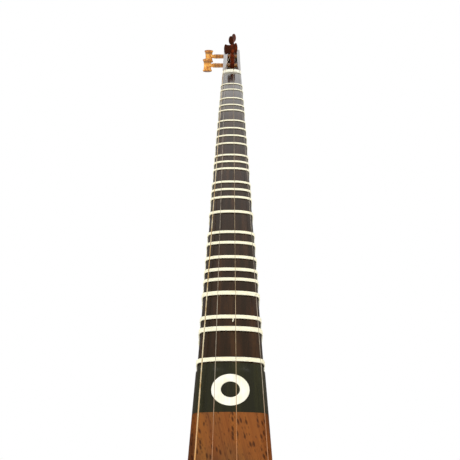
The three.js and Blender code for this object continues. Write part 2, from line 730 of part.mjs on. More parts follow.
function ringSection(clearance) {
  const [inner, outer] = [RING_HOLE / 2 - clearance, RING_DIAMETER / 2 + clearance];
  const floor = RING_THICKNESS + clearance;
  const top = clearance > 0 ? -CUT_OVERRUN : 0;
  const profile = [[inner, top], [outer, top], [outer, floor], [inner, floor], [inner, top]];
  const ring = new THREE.LatheGeometry(
    profile.map(([r, y]) => new THREE.Vector2(r, y)), RING_SIDES);
  const place = ring.attributes.position;
  const camber = panelCamber(RING_STATION);
  for (let i = 0; i < place.count; i++) {
    const drop = plateTopY(place.getX(i), THROAT_WIDTH / 2, camber);
    place.setY(i, place.getY(i) + drop);
  }
  return ring.translate(0, 0, zAt(RING_STATION));
}

function endPanel() {
  const plate = loft([NECK_LENGTH, SEAM_STATION].map((station) => {
    const [, width] = bowlProfile(THROAT_SHARE * (station - NECK_LENGTH) / THROAT_LENGTH);
    return plateRing(station, width, panelCamber(station));
  }));
  return surface(cut(solid(plate), ringSection(RING_CLEARANCE)));
}

// Frets: each is one length of gut that starts at the left side and ends at the right side
function fretOutline(station) {
  const [half, depth] = [neckHalfWidth(station), neckDepth(station)];
  const front = plateTop(half, neckCamber(station), FRET_TOP_STEPS);
  const back = backArc(half, depth, NECK_FULLNESS).slice(1, -1);
  const outline = [...front, ...back];
  const reach = FRET_CLEARANCE + GUT_DIAMETER / 2;
  const offset = outline.map((point, i) => {
    const before = outline[(i + outline.length - 1) % outline.length];
    const after = outline[(i + 1) % outline.length];
    const onward = after.clone().sub(point).normalize();
    const tangent = point.clone().sub(before).normalize().add(onward).normalize();
    const mitre = reach / Math.max(tangent.dot(onward), Math.SQRT1_2);
    return new THREE.Vector2(point.x + tangent.y * mitre, point.y - tangent.x * mitre);
  });
  return { front: offset.slice(0, front.length), back: offset.slice(front.length) };
}

function fretPath(station) {
  const { front, back } = fretOutline(station);
  const pitch = GUT_DIAMETER + FRET_TURN_GAP;
  const place = ({ x, y }, turn) =>
    new THREE.Vector3(x, y, zAt(station) + (turn - (FRET_TURNS - 1) / 2) * pitch);
  const climb = 1 / (back.length + 1);
  const path = [place(back[back.length - 1], -climb)];
  for (let turn = 0; turn < FRET_TURNS; turn++) {
    path.push(...front.map((point) => place(point, turn)));
    if (turn === FRET_TURNS - 1) break;
    path.push(...back.map((point, i) => place(point, turn + (i + 1) * climb)));
  }
  return [...path, place(back[0], FRET_TURNS - 1 + climb)];
}

const fretStation = (cents) => SCALE_LENGTH * (1 - 2 ** (-cents / OCTAVE_CENTS_SHARE));

// Bridge: a low bar on two feet, with sloping shoulders and four notches
function bridge() {
  const half = BRIDGE_LENGTH / 2;
  const foot = -PLATE_THICKNESS - SEAT_GAP;
  const under = foot - BRIDGE_ARCH_HEIGHT;
  const inner = half - BRIDGE_FOOT_LENGTH;
  const top = STRING_BRIDGE_Y - BRIDGE_NOTCH_LIP;
  const outline = [
    [-half, foot], [-inner, foot], [-inner + BRIDGE_SHOULDER, under],
    [inner - BRIDGE_SHOULDER, under], [inner, foot], [half, foot],
    [half, foot - BRIDGE_FOOT_HEIGHT],
    [STRINGS[3].bridge + BRIDGE_SHOULDER, top + NUT_SHOULDER],
  ];
  for (const string of [...STRINGS].reverse()) {
    outline.push(
      [string.bridge + BRIDGE_NOTCH_HALF_WIDTH, top],
      [string.bridge, STRING_BRIDGE_Y + string.radius + BRIDGE_NOTCH_LIP],
      [string.bridge - BRIDGE_NOTCH_HALF_WIDTH, top]);
  }
  outline.push(
    [STRINGS[0].bridge - BRIDGE_SHOULDER, top + NUT_SHOULDER], [-half, foot - BRIDGE_FOOT_HEIGHT]);
  const ringAt = (offset) => outline.map(([x, y]) => {
    const taper = lerp(1, BRIDGE_TOP_SHARE, (foot - y) / (foot - top));
    return new THREE.Vector3(x, y, zAt(SCALE_LENGTH) + offset * taper);
  });
  return loft([-BRIDGE_THICKNESS / 2, BRIDGE_THICKNESS / 2].map(ringAt));
}

// Tailpiece: a bone block that fits the end of the bowl, with a pin for each string
function boardBlank(clearance) {
  const rows = BOWL_ROWS.filter((u) => u >= BELLY_SHARE);
  const low = -PLATE_THICKNESS - PIN_HEIGHT - CUT_OVERRUN;
  return loft(rows.map((u) => [-1, 1].flatMap((side) => {
    const edge = bowlPoint(u, side < 0 ? Math.PI : 0, clearance);
    const ys = side < 0 ? [low, 0] : [0, low];
    return ys.map((y) => new THREE.Vector3(edge.x, y, edge.z));
  })));
}

function tailpiece() {
  const half = TAILPIECE_WIDTH / 2;
  const front = -PLATE_THICKNESS - TAILPIECE_LIP;
  const block = box(-half, half, front, front + TAILPIECE_DEPTH + PLATE_THICKNESS,
    0, TAILPIECE_THICKNESS + TAILPIECE_HUG);
  const pins = STRINGS.map(({ tail }) => new THREE.CylinderGeometry(
    PIN_DIAMETER / 2, PIN_DIAMETER / 2, PIN_HEIGHT + CUT_OVERRUN, PIN_SIDES)
    .translate(tail, front - PIN_HEIGHT + (PIN_HEIGHT + CUT_OVERRUN) / 2, PIN_SETBACK));
  const shell = bowlSolid(2 * SEAT_GAP + CAP_THICKNESS);
  return surface(cut(joined(block, ...pins), shell, boardBlank(SEAT_GAP)));
}

// The instrument
const setar = new THREE.Group();

function add(name, geometry, material, parent = setar) {
  const mesh = new THREE.Mesh(geometry, material);
  mesh.name = name;
  parent.add(mesh);
  return mesh;
}

add('neck', neck(), DARK_WALNUT);
add('fingerboard', fingerboard(), DARK_WALNUT);
add('nut', nut(), BONE);
add('head', head(), DARK_WALNUT);
add('end_panel', endPanel(), BLACKWOOD);
add('ring_inlay', ringSection(0), BONE);
add('soundboard', soundboard(), MULBERRY);
add('neck_block', neckBlock(), RAW_WOOD);
add('tail_block', tailBlock(), RAW_WOOD);
add('brace_upper', brace(BRACE_UPPER_SHARE), RAW_WOOD);
add('brace_lower', brace(BRACE_LOWER_SHARE), RAW_WOOD);
add('end_cap', endCap(), DARK_WALNUT);
add('bridge', bridge(), BOXWOOD);
add('tailpiece', tailpiece(), BONE);

for (let i = 0; i < STAVE_COUNT; i++) {
  add(`stave_${i + 1}`, stave(i), i % 2 ? MULBERRY_DARK : MULBERRY);
}

FRET_CENT_SHARES.forEach((cents, i) => {
  const name = `fret_${String(i + 1).padStart(2, '0')}`;
  const path = fretPath(fretStation(cents));
  add(name, tube(path, GUT_DIAMETER / 2, FRET_SIDES), GUT);
  printLeastGap(name, path, GUT_DIAMETER / 2, (path.length - 1) / FRET_TURNS);
});

for (const [name, peg] of Object.entries(PEGS)) {
  const group = new THREE.Group();
  group.applyMatrix4(pegBasis(peg));
  const shape = surface(joined(pegShaft(peg), pegHandle()));
  add(`peg_${name}`, shape, peg.material, group).rotation.z = THREE.MathUtils.degToRad(peg.turn);
  for (const string of STRINGS.filter((other) => other.peg === name)) {
    const path = windingPath(string);
    add(`winding_${string.name}`, tube(path, string.radius, WINDING_SIDES), string.metal, group);
    printLeastGap(`winding_${string.name}`, path, string.radius, WINDING_STEPS);
  }
  setar.add(group);
}

for (const string of STRINGS) {
  add(`string_${string.name}`, tube(stringPath(string), string.radius, STRING_SIDES), string.metal);
}

export default setar;
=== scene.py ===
"""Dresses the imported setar: fine wood, bone, gut and wire pieces around the fixed frame.

Sizes in the classes are millimetres in the frame of the CAD part; meshes are written in metres.
A station is a distance from the nut towards the tail, along the strings.
"""

import logging
import math
from collections.abc import Sequence
from dataclasses import dataclass, replace
from enum import Enum
from typing import Any

import bmesh
import bpy
from mathutils import Matrix, Vector


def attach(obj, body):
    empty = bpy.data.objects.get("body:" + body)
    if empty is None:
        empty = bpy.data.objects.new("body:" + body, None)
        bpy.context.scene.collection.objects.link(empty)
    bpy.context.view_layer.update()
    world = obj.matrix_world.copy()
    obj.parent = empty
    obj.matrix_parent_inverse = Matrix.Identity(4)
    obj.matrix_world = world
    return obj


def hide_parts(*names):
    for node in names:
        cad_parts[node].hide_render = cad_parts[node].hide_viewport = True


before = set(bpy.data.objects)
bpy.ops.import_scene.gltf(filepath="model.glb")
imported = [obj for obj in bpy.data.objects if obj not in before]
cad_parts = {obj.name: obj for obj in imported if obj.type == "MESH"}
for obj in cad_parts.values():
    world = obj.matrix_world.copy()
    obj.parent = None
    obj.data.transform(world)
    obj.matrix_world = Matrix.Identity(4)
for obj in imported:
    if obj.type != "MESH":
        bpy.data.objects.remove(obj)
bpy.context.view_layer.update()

log = logging.getLogger("setar")

MM = 0.001
SHARP_DEGREES = 32.0
ROUND_SIDES = 28
FOOT_GAP = 0.01
TINY = 1e-5
WELD = 1e-7

Pair = tuple[float, float]
Triple = tuple[float, float, float]
Ring = list[Vector]
Finish = bpy.types.Material
Piece = bpy.types.Object
Socket = bpy.types.NodeSocket


def lerp(a: float, b: float, t: float) -> float:
    """Returns the value that lies the share t of the way from a to b."""
    return a + (b - a) * t


def divide(whole: float, count: int) -> list[float]:
    """Lists the values from 0 to the whole in equal steps, both ends included."""
    return [whole * i / count for i in range(count + 1)]


def spread(a: float, b: float, count: int) -> list[float]:
    """Lists the values from a to b in equal steps, both ends included."""
    return [lerp(a, b, i / count) for i in range(count + 1)]


def half_turn(angle: float) -> Pair:
    """Returns an angle's cosine and sine; the sine is just 0 at both ends of a half turn."""
    sine = math.sin(angle)
    return math.cos(angle), sine if sine > TINY else 0.0


def linear(colour: str) -> Triple:
    """Turns a screen colour, six hexadecimal digits, into the linear values of a shader."""
    parts = [int(colour[i:i + 2], 16) / 255 for i in (0, 2, 4)]
    return tuple(c / 12.92 if c <= 0.04045 else ((c + 0.055) / 1.055) ** 2.4 for c in parts)


# Node trees


class Num:
    """A number socket that can be used in Python expressions."""

    def __init__(self, graph: "Graph", socket: Socket) -> None:
        """Wraps one socket of a tree."""
        self.graph = graph
        self.socket = socket

    def math(self, operation: str, *values: Any) -> "Num":
        """Adds a Math node that does an operation on numbers or sockets."""
        return self.graph.number("ShaderNodeMath", dict(enumerate(values)), operation=operation)

    def __add__(self, other: Any) -> "Num":
        """Adds."""
        return self.math("ADD", self, other)

    __radd__ = __add__

    def __sub__(self, other: Any) -> "Num":
        """Subtracts."""
        return self.math("SUBTRACT", self, other)

    def __rsub__(self, other: Any) -> "Num":
        """Subtracts from the other value."""
        return self.math("SUBTRACT", other, self)

    def __mul__(self, other: Any) -> "Num":
        """Multiplies."""
        return self.math("MULTIPLY", self, other)

    __rmul__ = __mul__

    def __truediv__(self, other: Any) -> "Num":
        """Divides."""
        return self.math("DIVIDE", self, other)

    def sine(self) -> "Num":
        """Returns the sine."""
        return self.math("SINE", self)

    def step(self, low: float, high: float) -> "Num":
        """Rises smoothly from 0 at low to 1 at high, or falls where low is above high.

        Args:
            low: value where it is 0.
            high: value where it is 1.

        Returns:
            The rise.
        """
        if low > high:
            return 1 - self.step(high, low)
        inputs = {"Value": self, "From Min": low, "From Max": high}
        return self.graph.number("ShaderNodeMapRange", inputs, interpolation_type="SMOOTHSTEP")


class Graph:
    """A node tree under construction."""

    def __init__(self, tree: bpy.types.NodeTree) -> None:
        """Takes the tree that nodes are added to."""
        self.tree = tree

    def node(self, kind: str, inputs: dict | None = None, **settings: Any) -> bpy.types.Node:
        """Adds one node.

        Args:
            kind: the node's type.
            inputs: values or links by input name or number.
            settings: the node's own settings, set before its inputs.

        Returns:
            The new node.
        """
        node = self.tree.nodes.new(kind)
        for name, value in settings.items():
            setattr(node, name, value)
        for key, value in (inputs or {}).items():
            self.feed(node.inputs[key], value)
        return node

    def feed(self, socket: Socket, value: Any) -> None:
        """Links a socket, or sets its value.

        Args:
            socket: the input.
            value: a Num, a socket or a plain value.
        """
        source = value.socket if isinstance(value, Num) else value
        if isinstance(source, Socket):
            self.tree.links.new(source, socket)
        elif isinstance(source, tuple) and len(source) == 3 and socket.type == "RGBA":
            socket.default_value = (*source, 1.0)
        else:
            socket.default_value = source

    def out(self, kind: str, inputs: dict | None = None, **settings: Any) -> Socket:
        """Adds one node, as `node` does, and returns its first output."""
        return self.node(kind, inputs, **settings).outputs[0]

    def number(self, kind: str, inputs: dict | None = None, output: Any = 0,
               **settings: Any) -> Num:
        """Adds one node, as `node` does, and wraps an output, given by name or number."""
        return Num(self, self.node(kind, inputs, **settings).outputs[output])

    def mix(self, factor: Any, a: Any, b: Any) -> Socket:
        """Mixes two colours, where the factor is the second one's share."""
        return self.node("ShaderNodeMix", {0: factor, 6: a, 7: b}, data_type="RGBA").outputs[2]

    def combine(self, x: Any, y: Any, z: Any) -> Socket:
        """Joins three numbers into a vector."""
        return self.out("ShaderNodeCombineXYZ", {0: x, 1: y, 2: z})

    def split(self, vector: Any) -> tuple[Num, Num, Num]:
        """Splits a vector into three numbers."""
        outputs = self.node("ShaderNodeSeparateXYZ", {0: vector}).outputs
        return tuple(Num(self, outputs[i]) for i in range(3))

    def noise(self, place: Sequence[Any], size: Pair, detail: float) -> Num:
        """Adds a noise.

        Args:
            place: numbers across, through and along the grain.
            size: width and length of its spots.
            detail: how much finer noise is laid over it.

        Returns:
            The noise, mostly near 0.5.
        """
        width, length = size
        across, deep, along = place
        inputs = {"Vector": self.combine(across / width, deep / width, along / length),
                  "Scale": 1.0, "Detail": detail}
        return self.number("ShaderNodeTexNoise", inputs)


class Grain(Enum):
    """Which coordinates a pattern follows: the piece's own, or an attribute that bends with it."""

    STRAIGHT = ""
    BENT = "grain"


class Surface:
    """A material whose shader is a Principled BSDF, with helpers for its maps."""

    def __init__(self, name: str) -> None:
        """Makes an empty material of that name.

        Args:
            name: the material's name.
        """
        self.material = bpy.data.materials.new(name)
        self.material.use_nodes = True
        tree = self.material.node_tree
        tree.nodes.clear()
        self.graph = Graph(tree)
        self.shader = tree.nodes.new("ShaderNodeBsdfPrincipled")
        output = tree.nodes.new("ShaderNodeOutputMaterial")
        tree.links.new(self.shader.outputs[0], output.inputs[0])

    def set(self, **values: Any) -> None:
        """Sets or links the shader's inputs; a name's spaces are written as underscores.

        Args:
            values: numbers, colours or sockets by input name.
        """
        names = {"ior": "IOR", "coat_ior": "Coat IOR"}
        for key, value in values.items():
            name = names.get(key, key.replace("_", " ").title())
            self.graph.feed(self.shader.inputs[name], value)

    def bump(self, height: Num, strength: float, distance: float) -> None:
        """Bends the normal by a pattern whose depth is given in millimetres."""
        inputs = {"Strength": strength, "Distance": distance * MM, "Height": height}
        self.set(Normal=self.graph.out("ShaderNodeBump", inputs))

    def place(self, grain: Grain = Grain.STRAIGHT) -> tuple[Num, Num, Num]:
        """Finds the place on the piece in millimetres.

        Args:
            grain: which coordinates are used.

        Returns:
            Three numbers: across, deep and along.
        """
        if grain is Grain.BENT:
            node = self.graph.node("ShaderNodeAttribute", attribute_name=grain.value)
            vector = node.outputs["Vector"]
        else:
            vector = self.graph.node("ShaderNodeTexCoord").outputs["Object"]
        return tuple(value * (1 / MM) for value in self.graph.split(vector))


@dataclass(frozen=True)
class Wood:
    """A wood: streaks and fibres along the grain, open pores and a clear finish.

    Colours are six hexadecimal digits; lengths are millimetres. A range gives the two ends
    between which something sets in, along a coordinate or a pattern.
    """

    name: str
    light: str
    middle: str
    dark: str
    pore: str
    grain: Grain = Grain.STRAIGHT
    lean: float = 0.0
    shift: float = 0.0
    contrast: float = 2.6
    middle_range: Pair = (0.2, 0.62)
    light_range: Pair = (0.55, 1.05)
    streak: float = 7.0
    streak_stretch: float = 22.0
    warp_size: Pair = (30.0, 90.0)
    warp_reach: float = 16.0
    ring_across: float = 0.42
    ring_deep: float = 0.3
    ring_rate: float = 6.3
    ring_tone: float = 0.12
    fibre_size: Pair = (0.3125, 9.0)
    fibre_tone: float = 0.9
    fibre_roughness: float = 0.16
    fibre_depth: float = 0.25
    pore_width: float = 0.9
    pore_length: float = 3.0
    pore_share: float = 0.3
    pore_cell: Pair = (1.9, 1.7)
    pore_range: Pair = (0.44, 0.16)
    pore_softness: float = 0.03
    pore_tone: float = 0.85
    pore_roughness: float = 0.2
    pore_depth: float = 0.12
    relief: float = 0.5
    clustering: float = 0.14
    wander_size: Pair = (6.0, 14.0)
    wander_reach: float = 0.8
    fine_size: float = 0.55
    fine_shift: float = 61.3
    fine_tone: float = 0.6
    # Colour of the painted shade from the edge attribute.
    edge: str = ""
    edge_shade_tone: float = 0.9
    edge_roughness: float = 0.4
    darkening_range: Pair = (0.0, 0.0)
    darkening_tone: float = 0.45
    patch: str = ""
    patch_size: Pair = (16.0, 34.0)
    patch_shift: float = 116.8
    patch_range: Pair = (0.5, 0.66)
    patch_tone: float = 0.45
    roughness: float = 0.35
    ior: float = 1.45
    tint: Triple = (1.0, 1.0, 1.0)
    coat: float = 0.0
    coat_roughness: float = 0.12
    coat_ior: float = 1.5
    coat_axis: int = 2
    coat_range: Pair = (0.0, 0.0)

    def build(self) -> Finish:
        """Builds the material.

        Returns:
            The material.
        """
        surface = Surface(self.name)
        g = surface.graph
        own = surface.place(self.grain)
        across, deep, along = own
        across = across + self.lean * along + self.shift
        place = (across, deep, along)
        broad = g.noise(place, (self.streak, self.streak * self.streak_stretch), 2.0)
        warp = g.noise(place, self.warp_size, 1.0)
        slant = across * self.ring_across + deep * self.ring_deep + warp * self.warp_reach
        rings = (slant * (self.ring_rate / self.streak)).sine()
        fibre = g.noise(place, self.fibre_size, 4.0)
        pores = self._pores(g, place, rings, 1.0)
        fine = self._pores(g, (across + self.fine_shift, deep, along), rings, self.fine_size)
        pores = pores.math("MAXIMUM", pores, fine * self.fine_tone)
        tone = ((broad - 0.5) * self.contrast + (fibre - 0.5) * self.fibre_tone
                + rings * self.ring_tone + 0.5)
        colour = g.mix(tone.step(*self.middle_range), linear(self.dark), linear(self.middle))
        colour = g.mix(tone.step(*self.light_range), colour, linear(self.light))
        roughness = self.roughness
        # Painted shade from the edge attribute: darker edges, grooves and rims; also rougher.
        if self.edge:
            painted_shade = g.number("ShaderNodeAttribute", None, "Fac", attribute_name="edge")
            colour = g.mix(painted_shade.step(0.0, 1.0) * self.edge_shade_tone, colour, linear(self.edge))
            roughness = painted_shade * self.edge_roughness + roughness
        # Darkens towards the edge colour along the across axis, as on the side pegs' shafts near
        # the head.
        if any(self.darkening_range):
            darkening = across.step(*self.darkening_range) * self.darkening_tone
            colour = g.mix(darkening, colour, linear(self.edge))
        if self.patch:
            spots = g.noise((across + self.patch_shift, deep, along), self.patch_size, 1.0)
            patches = spots.step(*self.patch_range) * self.patch_tone
            colour = g.mix(patches, colour, linear(self.patch))
        colour = g.mix(pores * self.pore_tone, colour, linear(self.pore))
        roughness = (roughness + (fibre - 0.5) * self.fibre_roughness
                     + pores * self.pore_roughness)
        coat = self.coat
        if any(self.coat_range):
            coat = own[self.coat_axis].step(*self.coat_range) * coat
        surface.set(base_color=colour, roughness=roughness, ior=self.ior, coat_weight=coat,
                    coat_roughness=self.coat_roughness, coat_ior=self.coat_ior,
                    specular_tint=(*self.tint, 1.0))
        surface.bump(fibre * self.fibre_depth + 1 - pores, self.relief, self.pore_depth)
        return surface.material

    def _pores(self, g: Graph, place: tuple[Num, Num, Num], rings: Num, size: float) -> Num:
        """Lays short dark dashes along the grain, thicker in some growth rings than in others.

        Args:
            g: the material's tree.
            place: place across, through and along the grain.
            rings: growth rings, -1 to 1.
            size: size of these pores, 1 for the large ones.

        Returns:
            The pores' mask.
        """
        across, deep, along = place
        width = self.pore_width * self.pore_cell[0] * size
        length = self.pore_length * self.pore_cell[1] * size
        wander = g.noise(place, self.wander_size, 1.0) * self.wander_reach
        spot = g.combine(across / width + wander, deep / width, along / length)
        cells = g.node("ShaderNodeTexVoronoi", {"Vector": spot, "Scale": 1.0}, feature="F1")
        pick = g.split(cells.outputs["Color"])[0] + rings * self.clustering
        least = 1 - self.pore_share
        chosen = pick.step(least - self.pore_softness, least + self.pore_softness)
        return Num(g, cells.outputs["Distance"]).step(*self.pore_range) * chosen


@dataclass(frozen=True)
class Ivory:
    """Bone or gut: pale, slightly uneven, with fine lines along it."""

    name: str
    light: str
    dark: str
    grain: Grain = Grain.STRAIGHT
    cloud_size: float = 5.0
    cloud_share: float = 0.6
    line_size: Pair = (0.6, 12.0)
    line_depth: float = 0.05
    line_roughness: float = 0.2
    relief: float = 0.25
    light_range: Pair = (0.3, 0.68)
    roughness: float = 0.35
    ior: float = 1.5

    def build(self) -> Finish:
        """Builds the material.

        Returns:
            The material.
        """
        surface = Surface(self.name)
        g = surface.graph
        place = surface.place(self.grain)
        cloud = g.noise(place, (self.cloud_size, self.cloud_size), 2.0)
        lines = g.noise(place, self.line_size, 3.0)
        tone = cloud * self.cloud_share + lines * (1 - self.cloud_share)
        colour = g.mix(tone.step(*self.light_range), linear(self.dark), linear(self.light))
        roughness = self.roughness + (lines - 0.5) * self.line_roughness
        surface.set(base_color=colour, roughness=roughness, ior=self.ior)
        surface.bump(lines, self.relief, self.line_depth)
        return surface.material


@dataclass(frozen=True)
class Wire:
    """Drawn or wound wire; a wound one has a pitch, the width of its turns in millimetres.

    Over the soundboard, below a set height, it shows a painted reflection of the brown wood.
    """

    name: str
    colour: str
    shade: str
    # Colour of the soundboard's painted reflection on the wire.
    reflected_wood: str
    roughness: float = 0.28
    cloud_length: float = 9.0
    cloud_roughness: float = 0.15
    colour_range: Pair = (0.35, 0.7)
    relief: float = 0.6
    pitch: float = 0.0
    groove_range: Pair = (0.35, 0.0)
    groove_shade_tone: float = 0.6
    groove_share: float = 1 / 3
    reflection_range: Pair = (275.0, 240.0)
    reflection_tone: float = 0.75

    def build(self) -> Finish:
        """Builds the material.

        Returns:
            The material.
        """
        surface = Surface(self.name)
        g = surface.graph
        along = surface.place(Grain.BENT)[2]
        size = self.cloud_length
        cloud = g.noise((along, size / 2, size / 2), (size, size), 2.0)
        colour = g.mix(cloud.step(*self.colour_range), linear(self.shade), linear(self.colour))
        # Painted reflection of the soundboard's wood, low down over the board.
        painted_reflection = surface.place()[2].step(*self.reflection_range) * self.reflection_tone
        colour = g.mix(painted_reflection, colour, linear(self.reflected_wood))
        if self.pitch:
            turns = (along * (2 * math.pi / self.pitch)).sine() * 0.5 + 0.5
            # Painted shade in the grooves between the turns.
            grooves = turns.step(*self.groove_range) * self.groove_shade_tone
            colour = g.mix(grooves, colour, linear(self.shade))
            surface.bump(turns, self.relief, self.pitch * self.groove_share)
        roughness = self.roughness + (cloud - 0.5) * self.cloud_roughness
        surface.set(base_color=colour, roughness=roughness, metallic=1.0)
        return surface.material


@dataclass(frozen=True)
class Plaster:
    """The studio's floor: plain and pale, white to the camera and to reflections."""

    name: str = "studio_floor"
    shade: float = 0.9
    roughness: float = 0.9

    def build(self) -> Finish:
        """Builds the material.

        Returns:
            The material.
        """
        surface = Surface(self.name)
        surface.set(base_color=(self.shade,) * 3, roughness=self.roughness)
        return surface.material


WALNUT = Wood("walnut_polished", "6B5140", "46331F", "2A1B11", "120A05", streak=5.0,
              pore_width=0.35, pore_length=2.6, pore_share=0.34, pore_depth=0.04,
              roughness=0.22, coat=0.5)
HEAD_WOOD = Wood("head_walnut_lacquered", "705844", "4C3827", "2E2016", "150C07", streak=5.0,
                 pore_width=0.35, pore_length=2.6, pore_share=0.34, pore_depth=0.02,
                 roughness=0.2, ior=1.48, coat=1.0, coat_ior=1.9, coat_axis=1,
                 coat_range=(2.5, 0.0))
# Its edge colour is painted shade on the board's rounded edges and sides.
BOARD_WOOD = Wood("fingerboard_wood", "3A2414", "26150C", "180D07", "0A0604", streak=4.0,
                  pore_width=0.3, pore_length=2.2, pore_share=0.26, pore_depth=0.015,
                  roughness=0.17, ior=1.34, coat=0.75, coat_ior=1.6, coat_range=(540.0, 700.0),
                  edge="0C0705", tint=(1.0, 0.7, 0.4))
# Its edge colour is painted shade on the panel's rounded edges and sides.
BLACK_WOOD = Wood("panel_blackwood", "23220F", "171709", "0F0F08", "080806", streak=4.0,
                  pore_width=0.25, pore_length=1.5, pore_share=0.2, pore_depth=0.012,
                  roughness=0.25, ior=1.33, edge="1C140A", tint=(1.0, 0.95, 0.6))
# Its edge colour is painted shade on the soundboard's rounded edges.
MULBERRY = Wood("soundboard_mulberry", "8E5824", "764823", "5A321A", "32160A", streak=3.6,
                lean=0.21, pore_width=0.7, pore_length=2.3, pore_share=0.5, clustering=0.3,
                roughness=0.42, ior=1.36, edge="4A240A", patch="94501C", tint=(1.0, 0.8, 0.5),
                contrast=1.9)
STAVE_LIGHT = Wood("stave_mulberry_light", "B06C34", "8A4C22", "683413", "32160B",
                   grain=Grain.BENT, pore_width=0.7, pore_length=3.4, roughness=0.27, coat=0.4)
STAVE_DARK = replace(STAVE_LIGHT, name="stave_mulberry_dark", light="8A4F28", middle="643219",
                     dark="46210F", pore="220E07", shift=37.0)
RAW_WOOD = Wood("raw_softwood", "D9B98A", "C9A06B", "A67C4B", "8C6238", streak=3.0,
                pore_width=0.3, pore_length=1.0, pore_share=0.06, roughness=0.75)
BOXWOOD = Wood("bridge_boxwood", "CFA367", "B5834A", "8F5F30", "6B4322", streak=3.0,
               pore_width=0.2, pore_length=0.8, pore_share=0.15, pore_depth=0.02, roughness=0.45)
# Its edge colour is painted shade on the handle's rims and bead grooves; it also darkens the
# shafts near the head.
AMBER_WOOD = Wood("peg_amber", "FFCE70", "EEA238", "B86C1A", "8A4C14", streak=3.0,
                  pore_width=0.3, pore_length=1.6, pore_share=0.1, pore_depth=0.02,
                  roughness=0.25, coat=0.5, edge="6A3A0C", darkening_range=(-25.0, -20.0),
                  contrast=2.2)
# Its edge colour is painted shade on the handle's rims, bead grooves and shafts near the slot.
RED_WOOD = Wood("peg_red_brown", "7A2C08", "641F06", "441404", "240A04", streak=4.0,
                pore_width=0.3, pore_length=1.6, pore_share=0.15, pore_depth=0.02,
                roughness=0.42, ior=1.27, edge="33150A", tint=(1.0, 0.7, 0.4))
BONE = Ivory("polished_bone", "FFFDEF", "F6EFD0")
GUT = Ivory("gut", "FFFDE6", "F7EECB", Grain.BENT, line_size=(0.25, 12.0), roughness=0.45)
# Each wire's fourth colour is the soundboard's painted reflection on it.
BRASS_WOUND = Wire("wound_bronze", "FFF4D0", "C2A066", "F2AE62", pitch=0.32)
BRONZE = Wire("plain_bronze", "D2BC98", "96805E", "D08A54")
STEEL = Wire("plain_steel", "C9BCA6", "857969", "C98A58")


# Meshes


def smooth_by_angle(mesh: bpy.types.Mesh) -> None:
    """Shades a mesh smooth, apart from its sharp edges.

    Args:
        mesh: the mesh, changed in place.
    """
    shell = bmesh.new()
    shell.from_mesh(mesh)
    for face in shell.faces:
        face.smooth = True
    for edge in shell.edges:
        edge.smooth = edge.calc_face_angle(math.pi) < math.radians(SHARP_DEGREES)
    shell.to_mesh(mesh)
    shell.free()


def put_in_scene(name: str, data: bpy.types.ID) -> Piece:
    """Makes an object of a mesh, a lamp or a camera and puts it in the scene.

    Args:
        name: the object's name.
        data: what it shows.

    Returns:
        The object.
    """
    item = bpy.data.objects.new(name, data)
    bpy.context.scene.collection.objects.link(item)
    return item


def settle(piece: Piece, material: Finish | None = None) -> None:
    """Turns a piece's modifiers into its mesh and removes them.

    Args:
        piece: the object.
        material: the finish that the whole mesh gets afterwards.
    """
    bpy.context.view_layer.update()
    graph = bpy.context.evaluated_depsgraph_get()
    mesh = bpy.data.meshes.new_from_object(piece.evaluated_get(graph))
    old = piece.data
    piece.modifiers.clear()
    piece.data = mesh
    bpy.data.meshes.remove(old)
    if material:
        mesh.materials.clear()
        mesh.materials.append(material)
        mesh.polygons.foreach_set("material_index", [0] * len(mesh.polygons))
    smooth_by_angle(mesh)


class Work(Enum):
    """What is done to a piece with another shape."""

    CUT = "DIFFERENCE"
    JOIN = "UNION"


def carve(piece: Piece, cutters: Sequence[Piece], material: Finish,
          work: Work = Work.CUT) -> None:
    """Cuts other shapes out of a piece, or joins them to it.

    Args:
        piece: the object that is cut.
        cutters: closed objects, deleted afterwards.
        material: the finish of the result.
        work: whether they are cut out or joined.
    """
    for cutter in cutters:
        modifier = piece.modifiers.new("carve", "BOOLEAN")
        modifier.object, modifier.operation, modifier.solver = cutter, work.value, "EXACT"
    settle(piece, material)
    for cutter in cutters:
        bpy.data.meshes.remove(cutter.data)


class Cap(Enum):
    """How the two ends of a row of rings are closed."""

    FAN = "one face"
    ZIP = "a strip of faces, for rings that are symmetric left to right"
    NONE = "open"


